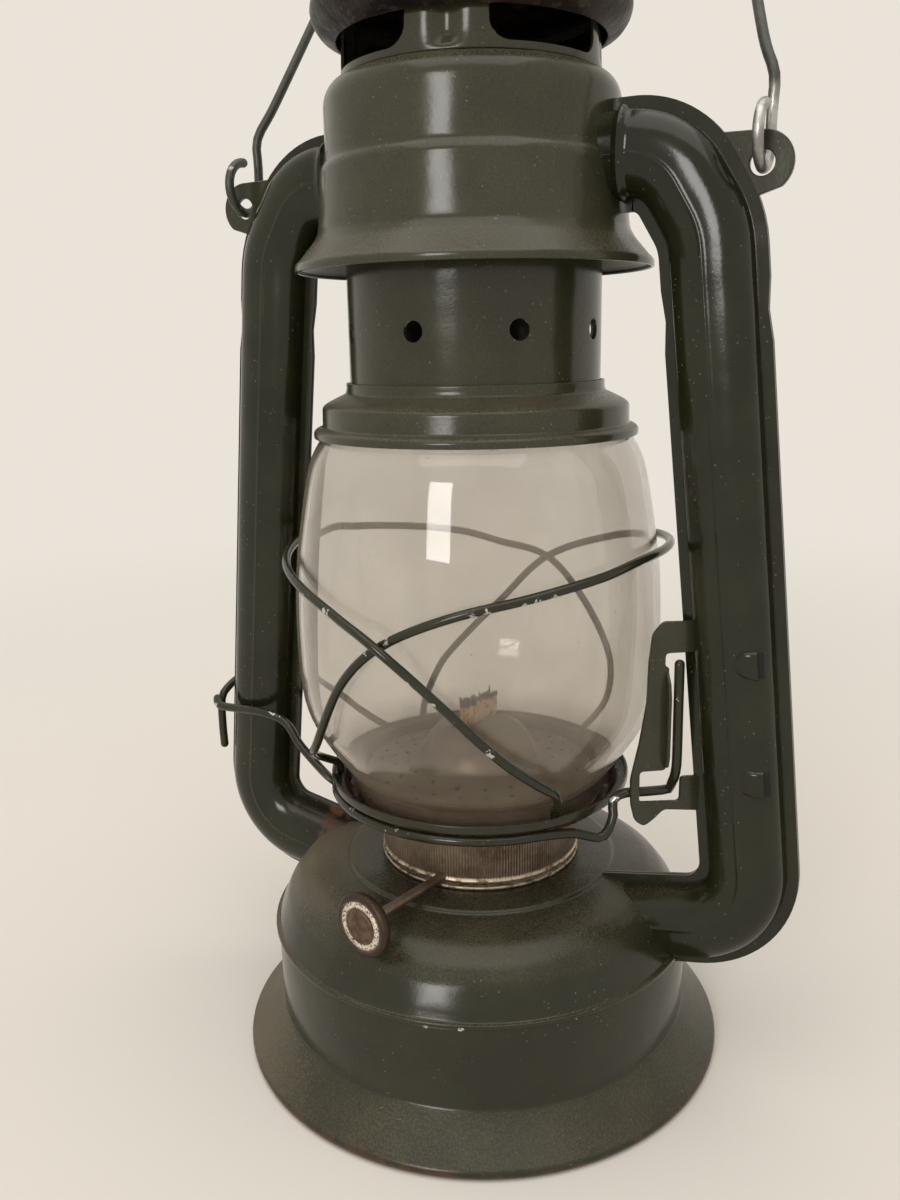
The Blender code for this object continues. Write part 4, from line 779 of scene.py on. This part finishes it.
# %% Pull rod, ring and spring
rod = [(0, 0, 0.1825 + 0.0547 * k / 12) for k in range(13)]
rod += [(0, 0.0024 * sin(radians(a)), 0.2406 - 0.0024 * cos(radians(a))) for a in range(0, 301, 12)]
wire("pull_rod_round", rod, 0.0010, TIN, "chimney", "pull_rod", slot="tin", sides=12)
fold = Vector((0, cos(radians(10)), -sin(radians(10))))
ring_points = [Vector((0, 0, 0.2406)) + fold * 0.0085 + Vector((0.0085 * cos(tau * i / 48), 0, 0))
               + fold * 0.0085 * sin(tau * i / 48) for i in range(48)]
wire("lift_ring_round", ring_points, 0.0008, TIN, "lift_ring", "lift_ring", slot="tin", sides=12, closed=True)
coil = [(0.0046 * cos(tau * i / 24), 0.0046 * sin(tau * i / 24), 0.1828 + 0.0527 * i / 216) for i in range(217)]
wire("chimney_spring_drawn", coil, 0.0005, DRAWN, "chimney", "chimney_spring", slot="spring", sides=8)

# %% [markdown]
# Each side tube is two pressed half shells, seamed edge to edge.  A half is a section
# swept along a line with rounded corners: the flanges are flat, and the body between them
# is a flattened arch.

# %% Side tubes
def rounded_path(corners, radii, steps):
    corners = [Vector(c) for c in corners]
    stations = [(corners[0], (corners[1] - corners[0]).normalized())]
    for i, (radius, count) in enumerate(zip(radii, steps), start=1):
        way_in = (corners[i] - corners[i - 1]).normalized()
        way_out = (corners[i + 1] - corners[i]).normalized()
        turn = atan2(way_in.x * way_out.y - way_in.y * way_out.x, way_in.dot(way_out))
        start = corners[i] - way_in * radius * tan(abs(turn) / 2)
        centre = start + Vector((-way_in.y, way_in.x)) * (radius if turn > 0 else -radius)
        previous = stations[-1][0]
        gap = start - previous
        extra = int(gap.length / 0.006)
        stations += [(previous + gap * k / (extra + 1), way_in) for k in range(1, extra + 1)]
        for k in range(count + 1):
            spin = Matrix.Rotation(turn * k / count, 2)
            stations.append((centre + spin @ (start - centre), spin @ way_in))
    stations.append((corners[-1], (corners[-1] - corners[-2]).normalized()))
    return stations


tube_path = rounded_path([(0.0288, 0.1980), (0.0416, 0.1980), (0.0503, 0.1835), (0.0650, 0.0414), (0.0300, 0.0345)],
                         [0.0125, 0.0180, 0.0145], [14, 5, 20])


def tube_skin(across, body, deep):
    """How far the outside of a half shell stands from the seam at a place across it."""
    share = min(abs(across) / body, 1.0)
    lean = share ** (1 / 0.86)
    bead = 0.00022 * 2.718 ** -(((across + 0.0006) / 0.00042) ** 2)
    return 0.00075 + (deep - 0.00075) * max(1 - lean * lean, 0.0) ** 0.37 + bead


def half_section(swell, pinch):
    """Closed outline (across, out) of one half shell: seam flanges and flattened arch."""
    low, skin = 0.00015, 0.0006
    body, deep, seam = 0.0080 + swell, 0.0070 + swell, 0.0104 - pinch
    spots = [-1, -0.985, -0.95, -0.88, -0.78, -0.66, -0.52, -0.38, -0.26, -0.20, -0.16, -0.13, -0.10, -0.075, -0.05,
             -0.02, 0.02, 0.06, 0.16, 0.30, 0.45, 0.60, 0.74, 0.86, 0.94, 0.98, 1]
    outer = [(-seam, low + skin)] + [(body * k, tube_skin(body * k, body, deep)) for k in spots]
    outer += [(seam, low + skin), (seam, low), (body - skin, low)]
    inner = [((body - skin) * cos(radians(a)), low + (deep - low - skin) * sin(radians(a)) ** 0.8) for a in range(15, 180, 15)]
    return outer + inner + [(skin - body, low), (-seam, low)]


def tube_half(name, side, face, finish, *nodes):
    bm, rings = bmesh.new(), []
    for place, way in tube_path:
        swell = 0.0009 * max(0.0, 1 - ((place.x - 0.0336) / 0.0011) ** 2) if place.y > 0.19 and place.x < 0.036 else 0
        pinch = 0.0006 * max(0.0, 1 - ((place.y - 0.1665) / 0.0042) ** 2) if place.x > 0.045 else 0
        outline = half_section(swell, pinch)
        rings.append([bm.verts.new((side * (place.x - way.y * across), face * out, place.y + way.x * across))
                      for across, out in outline])
    n = len(rings[0])
    for one, two in zip(rings, rings[1:]):
        for k in range(n):
            bm.faces.new((one[k - 1], one[k], two[k], two[k - 1]))
    bm.faces.new(rings[0][::-1])
    bm.faces.new(rings[-1])
    return finished(name, bm, finish, "lamp", nodes, crease=34)


bead_at = [0.0322, 0.0326, 0.0330, 0.0336, 0.0342, 0.0346, 0.0350]
tube_path = [tube_path[0]] + [(Vector((x, 0.1980)), tube_path[0][1]) for x in bead_at] + \
    [s for s in tube_path[1:] if not (s[0].y > 0.1979 and s[0].x < 0.0352)]
for side_name, side in (("right", 1), ("left", -1)):
    for half_name, face in (("front", -1), ("back", 1)):
        node = "tube_%s_%s" % (side_name, half_name)
        tube_half(node + "_pressed", side, face, GREEN_TUBE_SHADED, node)

# %% [markdown]
# Two small lances are sheared out of the right tube's front shell, where the lift bracket
# behind it was fixed by a press tool.  A lance is flush on its left, stands up towards its
# right, and is open there, so a sheet with one raised edge is enough.  A thin near-black
# strip beside each open edge is painted shade, standing for the hollow under the raised edge.

# %% Lances on the right tube
# A near-black finish: painted shade for the hollow under each lance's open edge.
SHADE = Finish("painted shade under the lances", Roughness=0.9)
SHADE = SHADE.set(Base_Color=SHADE.mix((0.004, 0.004, 0.003), (0.009, 0.008, 0.006), SHADE.grain(800.0))).material


def lance(name, low_across, high_across, low_z, high_z, lift, roundness, finish):
    """Sheet patch that rises from the tube's skin towards its outer, sheared edge."""
    bm, layers = bmesh.new(), []
    for depth in (0.0, -0.0004):
        grid = []
        for i in range(15):
            u = i / 14
            row = []
            for k in range(17):
                v = k / 8 - 1
                across = low_across + (high_across - low_across) * u
                tall = (1 - (1 - u) ** 2.4 * roundness) ** 0.5
                z = (low_z + high_z) / 2 + (high_z - low_z) / 2 * v * tall
                middle = 0.0503 + (0.1835 - z) * (0.0650 - 0.0503) / (0.1835 - 0.0414)
                stand = lift * (0.12 + 0.88 * u ** 0.8) * max(1 - v ** 6, 0.0) ** 0.5
                out = tube_skin(across, 0.0080, 0.0070) + 0.00004 + stand + depth
                row.append(bm.verts.new((middle + across, -out, z)))
            grid.append(row)
        layers.append(grid)
    top, under = layers
    for i in range(14):
        for k in range(16):
            bm.faces.new((top[i][k], top[i + 1][k], top[i + 1][k + 1], top[i][k + 1]))
            bm.faces.new((under[i][k + 1], under[i + 1][k + 1], under[i + 1][k], under[i][k]))
    rims = [[(0, k) for k in range(17)], [(14, k) for k in range(17)], [(i, 0) for i in range(15)], [(i, 16) for i in range(15)]]
    for rim in rims:
        for (a, b), (c, d) in zip(rim, rim[1:]):
            bm.faces.new((top[a][b], top[c][d], under[c][d], under[a][b]))
    return finished(name, bm, finish, "lamp")


for place, low_z, high_z, roundness in (("upper", 0.0975, 0.1035, 0.85), ("lower", 0.0728, 0.0786, 0.40)):
    lance("tube_lance_" + place, 0.0014, 0.0056, low_z, high_z, 0.00095, roundness, GREEN_TUBE_SHADED)
    # This strip is painted shade: a dark sheet where the hollow under the lance's edge falls in shadow.
    lance("tube_lance_%s_slit" % place, 0.0056, 0.0066, low_z + 0.0003, high_z - 0.0003, 0.0, 0.0, SHADE)

# %% [markdown]
# The ears are stamped lugs on the tubes' seams.  The bail's ends are bent into open loops
# that pass through them, so the loops are the bearing that the bail swings in.

# %% Ears and bail
for side_name, side in (("right", 1), ("left", -1)):
    lug = [(0.0500, 0.2004), (0.0560, 0.1880)]
    lug += [(0.0592 + 0.0057 * cos(radians(a)), 0.1945 + 0.0057 * sin(radians(a))) for a in range(-50, 97, 7)]
    eye_hole = [(0.0592 + 0.0023 * cos(tau * k / 28), 0.1945 + 0.0023 * sin(tau * k / 28)) for k in range(28)]
    pressed("ear_%s_stamped" % side_name, lug, 0.0013, lambda u, v, w: Vector((side * u, w, v)), GREEN, "lamp",
            "ear_" + side_name, holes=[eye_hole])

zinc = Finish("olive enamel and bare zinc of the bail")
bare_eye = zinc.x.ramp(0.0570, 0.0580) * (1 - zinc.z.ramp(0.2075, 0.2100))
tone = zinc.grain(180.0, 5.0)
chipped = zinc.grain(240.0, 4.0).ramp(0.68, 0.71)
bail_colour = zinc.mix(zinc.mix((0.030, 0.036, 0.026), (0.050, 0.052, 0.040), tone.ramp(0.4, 0.65)), (0.42, 0.40, 0.37), chipped)
bail_colour = zinc.mix(bail_colour, zinc.mix((0.50, 0.49, 0.47), (0.27, 0.26, 0.25), tone.ramp(0.4, 0.6)), bare_eye)
zinc.relief(zinc.grain(260.0, 4.0), 0.5, 0.0005)
ZINC = zinc.set(Base_Color=bail_colour, Metallic=bare_eye * 0.85 + chipped * 0.15, Roughness=0.30 + tone * 0.15).material

loop = [(0.0592, 0.0055 * sin(radians(a)), 0.0055 * cos(radians(a))) for a in range(335, 49, -12)]
rise = [(0.0592, 0.00264, 0.00748), (0.0592, 0.00033, 0.0130), (0.05613, 0, 0.02133), (0.0500, 0, 0.0440)]
arch = [(0.0500 * x, 0, 0.0880 * h) for x, h in ((0.93, 0.66), (0.75, 0.86), (0.45, 0.97), (0.0, 1.0))]
half = [loop[-1]] + rise + arch
whole = half + [(-x, y, z) for x, y, z in half[-2::-1]]
bail_place = Matrix.Translation((0, 0, 0.19911)) @ Matrix.Rotation(radians(-26), 4, "X")
bail_line = [Vector(p) for p in loop[:-1]] + smooth_path(whole, 0.0022) + [Vector((-x, y, z)) for x, y, z in loop[-2::-1]]
wire("bail_bent", [bail_place @ p for p in bail_line], 0.00105, ZINC, "bail", "bail")

# %% [markdown]
# Two wires guard the globe.  Each is rooted in the gallery on both sides, rises over the
# belly of the glass, and crosses the other at the front and at the back.

# %% Guard wires
swells = [(0.0, 0.0), (0.035, 0.0), (0.08, 0.34), (0.16, 0.68), (0.29, 0.95), (0.42, 1.0)]
right_route = [(-150, 0.0), (-149.6, 0.035), (-145, 0.085), (-131, 0.18), (-119, 0.28), (-104, 0.57),
               (-90, 0.74), (-71, 0.857), (-50, 0.92), (-29, 0.966), (-6, 1.0), (39, 0.975), (68, 0.893),
               (91, 0.767), (108, 0.543), (127, 0.29), (134, 0.18), (140, 0.085), (143.6, 0.035), (144, 0.0)]
left_route = [(-35, 0.0), (-35.3, 0.035), (-37.5, 0.085), (-41, 0.16), (-47, 0.215), (-58, 0.336), (-74, 0.547),
              (-90, 0.747), (-103, 0.816), (-121, 0.884), (-140, 0.928), (-180, 0.982), (-196, 0.964), (-234, 0.90),
              (-252, 0.8375), (-269, 0.765), (-288, 0.545), (-299, 0.336), (-302, 0.17), (-301, 0.085),
              (-300.3, 0.035), (-300, 0.0)]


def guard_points(route, bump):
    controls = []
    for turn, up in route:
        low = [s for s in swells if s[0] <= up][-1]
        high = [s for s in swells if s[0] > up][:1]
        grow = low[1] + (high[0][1] - low[1]) * (up - low[0]) / (high[0][0] - low[0]) if high else low[1]
        controls.append((radians(turn) * 0.0427, 0.03285 + (0.0427 - 0.03285) * grow, 0.0656 + (0.1210 - 0.0656) * up))
    points = []
    for along, radius, z in smooth_path(controls, 0.0020):
        turn = along / 0.0427
        for cross in (-pi / 2, -pi * 3 / 2):
            radius += bump * 2.718 ** -(((turn - cross) / radians(11)) ** 2)
        points.append((radius * cos(turn), radius * sin(turn), z))
    return points


wire("guard_wire_right_bent", guard_points(right_route, 0), 0.00095, GREEN_WIRE, "gallery", "guard_wire_right")
wire("guard_wire_left_bent", guard_points(left_route, 0.0024), 0.00095, GREEN_WIRE, "gallery", "guard_wire_left")

# %% [markdown]
# A slotted bracket on the right tube guides the lift wire.  Pressing the finger rod down
# lifts the gallery, so that a match can reach the wick.

# %% Lift bracket
turn = radians(35)
inward, outward = Vector((-cos(turn), -sin(turn), 0)), Vector((sin(turn), -cos(turn), 0))


def on_bracket(reach, out, z):
    return Vector((0.0505, -0.0016, z)) + inward * reach + outward * out


bracket_shares = [(-0.26, 0.060), (0.42, 0.080), (0.60, 0.030), (0.75, 0.0), (0.91, 0.030),
                  (0.985, 0.115), (1.0, 0.240), (0.868, 0.414), (0.76, 0.61), (0.744, 0.805),
                  (0.69, 0.945), (0.52, 1.0), (-0.10, 0.995), (-0.10, 0.85), (0.47, 0.85),
                  (0.47, 0.79), (0.405, 0.78), (0.405, 0.278), (0.845, 0.278), (0.845, 0.125),
                  (0.155, 0.118), (0.155, 0.24), (-0.26, 0.24)]
pressed("lift_bracket_stamped", [(0.0129 * u, 0.0622 + 0.0452 * v) for u, v in bracket_shares], 0.0010,
        lambda u, v, w: on_bracket(u, w, v), GREEN, "lamp", "lift_bracket", ease=0.0009)

# %% [markdown]
# The slot's inner edge is folded forwards, which stiffens the thin strip beside the rod.  It
# is a flat bar with a sloping top, and it stays clear of the rod over the whole lift.

# %% Fold on the bracket
fold_line = [(0.00055, 0.0755), (0.0024, 0.0762), (0.0031, 0.0785), (0.0031, 0.0915), (0.0024, 0.0945), (0.00055, 0.0968)]
pressed("lift_bracket_fold", fold_line, 0.0006, lambda u, v, w: on_bracket(0.00565 + w, u, v), GREEN, "lamp", ease=0.0004)

# %% [markdown]
# The lift wires run in hoops under the gallery and hook round the left tube, which keeps
# the globe level while it rises.

# %% Lift wires
hoop_z, hook_rise, knee_h = 0.06305, 0.0108, 0.0045
hoop_r = 0.0340
lean = (0.0650 - 0.0503) / (0.1835 - 0.0414)
hook_z = hoop_z + hook_rise
hook_x = 0.0503 + (0.1835 - hook_z) * lean + 0.0104 * sqrt(1 + lean ** 2) + 0.0003 + 0.00105
side_y, stand = 0.0070 + 0.0003 + 0.00105, 0.0005 + 0.0003 + 0.00105 + 0.0001


def hoop(first, last):
    count = round(abs(last - first) / 6)
    turns = [radians(first + (last - first) * i / count) for i in range(count + 1)]
    return [(hoop_r * cos(a), hoop_r * sin(a), hoop_z) for a in turns]


rod_shares = [(0.282, 1.0, 0.81), (0.276, 1.0, 0.56), (0.271, 1.0, 0.34), (0.271, 0.62, 0.265),
              (0.271, -0.15, 0.215), (0.274, -0.80, 0.175), (0.315, -1.06, 0.157), (0.65, -1.06, 0.154),
              (1.05, -1.0, 0.154)]
knee_shares = [(-14, 1.10, 1.0), (-15.5, 1.12, 0.2), (-20, 1.10, -0.56), (-29, 1.02, -0.2)]
front_hook = [(0.473, -1.68, -0.02), (0.587, -1.44, 0.45), (0.659, -1.26, 0.875), (0.76, -1.2, 1.0),
              (0.889, -1.08, 0.94), (0.965, -1.0, 0.92), (0.995, -0.78, 1.02)]
rear_hook = [(0.475, 1.80, 0.09), (0.575, 1.38, 0.55), (0.68, 1.15, 1.0), (0.897, 1.11, 1.29),
             (0.965, 1.0, 1.33), (1.0, 0.55, 1.28), (1.006, -0.05, 1.15), (1.008, -0.42, 0.93),
             (1.010, -0.46, 0.3), (1.008, -0.46, -0.28)]
hooked = [[(-hook_x * x, side_y * y, hoop_z + hook_rise * z) for x, y, z in hook] for hook in (front_hook, rear_hook)]
route = [on_bracket(0.0129 * u, stand * w, 0.0622 + 0.0452 * v) for u, w, v in rod_shares]
route += [(hoop_r * r * cos(radians(a)), hoop_r * r * sin(radians(a)), hoop_z + knee_h * z) for a, r, z in knee_shares]
wire("lift_wire_bent", smooth_path(route + hoop(-42, -148) + hooked[0], 0.0016), 0.00105, GREEN_WIRE, "gallery", "lift_wire")
wire("lift_wire_rear_bent", smooth_path(hoop(100, 150) + hooked[1], 0.0016), 0.00105, GREEN_WIRE, "gallery", "lift_wire_rear")

# %% [markdown]
# What is left of the CAD nodes stays as it is, inside or under other pieces, and only gets
# a better finish.

# %% Finishes for the inner nodes
inner = {"tank_bottom": GREEN_TANK, "filler_neck": TIN, "filler_gasket": COTTON, "burner_deck": TIN_INSIDE,
         "wick_tube": TIN_INSIDE, "wick_wheel_front": TIN, "wick_wheel_back": TIN, "spider": TIN_INSIDE}
for node, finish in inner.items():
    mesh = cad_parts[node].data
    mesh.materials.clear()
    mesh.materials.append(finish)
print("kept nodes:", ", ".join(inner))

# %% [markdown]
# Soft light comes from a tall window-like panel behind the camera, which draws the long
# upright highlight on the drum, and from a wide panel overhead.  Near the lamp the floor is
# a matt surface that takes its shadow.  Farther off, for rays that come from the camera or
# off a glossy or clear surface, it turns into the plain colour that the world has there.

# %% Floor, lights and world
PALE = (0.820, 0.768, 0.694)
floor = Finish("pale floor", Roughness=0.8)
mottle = floor.grain(3.0, 2.0).ramp(0.3, 0.7)
floor.set(Base_Color=floor.mix((0.865, 0.828, 0.770), (0.890, 0.853, 0.795), mottle))
rays = 0.0
for kind in ("Is Camera Ray", "Is Glossy Ray", "Is Transmission Ray"):
    rays = floor.node("ShaderNodeLightPath", {}, {}, kind) + rays
apart = floor.node("ShaderNodeVectorMath", {"operation": "LENGTH"}, {0: floor.place}, "Value")
glow = floor.node("ShaderNodeEmission", {}, {"Color": PALE, "Strength": 1.0})
faded = floor.node("ShaderNodeMixShader", {}, {0: rays.ramp(0.0, 1.0) * apart.ramp(0.12, 0.75), 2: glow})
floor.tree.links.new(floor.shader.outputs[0], faded.socket.node.inputs[1])
floor.tree.links.new(faded.socket, floor.tree.nodes["Material Output"].inputs["Surface"])
bm = bmesh.new()
bmesh.ops.create_circle(bm, cap_ends=True, segments=96, radius=12.0)
mesh = bpy.data.meshes.new("floor")
bm.to_mesh(mesh)
bm.free()
mesh.materials.append(floor.material)
ground = bpy.data.objects.new("floor", mesh)
scene.collection.objects.link(ground)


def panel(name, width, height, power, place, target, warmth=(1.0, 0.975, 0.945)):
    light = bpy.data.lights.new(name, "AREA")
    light.shape, light.size, light.size_y = "RECTANGLE", width, height
    light.energy, light.color = power, warmth
    lamp = bpy.data.objects.new(name, light)
    lamp.location = place
    lamp.rotation_euler = (Vector(target) - Vector(place)).to_track_quat("-Z", "Y").to_euler()
    scene.collection.objects.link(lamp)


panel("window", 0.56, 0.80, 14.8, (0.10, -2.10, 0.72), (0, 0, 0.17))
panel("overhead", 1.7, 1.7, 12.5, (0.10, -0.25, 1.55), (0, 0, 0.1))
world = bpy.data.worlds.new("room")
scene.world = world
world.use_nodes = True
sky = world.node_tree.nodes["Background"]
sky.inputs["Color"].default_value = (*PALE, 1.0)
ray = world.node_tree.nodes.new("ShaderNodeLightPath")
seen = ray.outputs["Is Camera Ray"]
for kind in ("Is Glossy Ray", "Is Transmission Ray"):
    either = world.node_tree.nodes.new("ShaderNodeMath")
    either.operation = "MAXIMUM"
    world.node_tree.links.new(seen, either.inputs[0])
    world.node_tree.links.new(ray.outputs[kind], either.inputs[1])
    seen = either.outputs[0]
level = world.node_tree.nodes.new("ShaderNodeMapRange")
level.inputs["To Min"].default_value = 0.58
level.inputs["To Max"].default_value = 1.0
world.node_tree.links.new(seen, level.inputs["Value"])
world.node_tree.links.new(level.outputs["Result"], sky.inputs["Strength"])
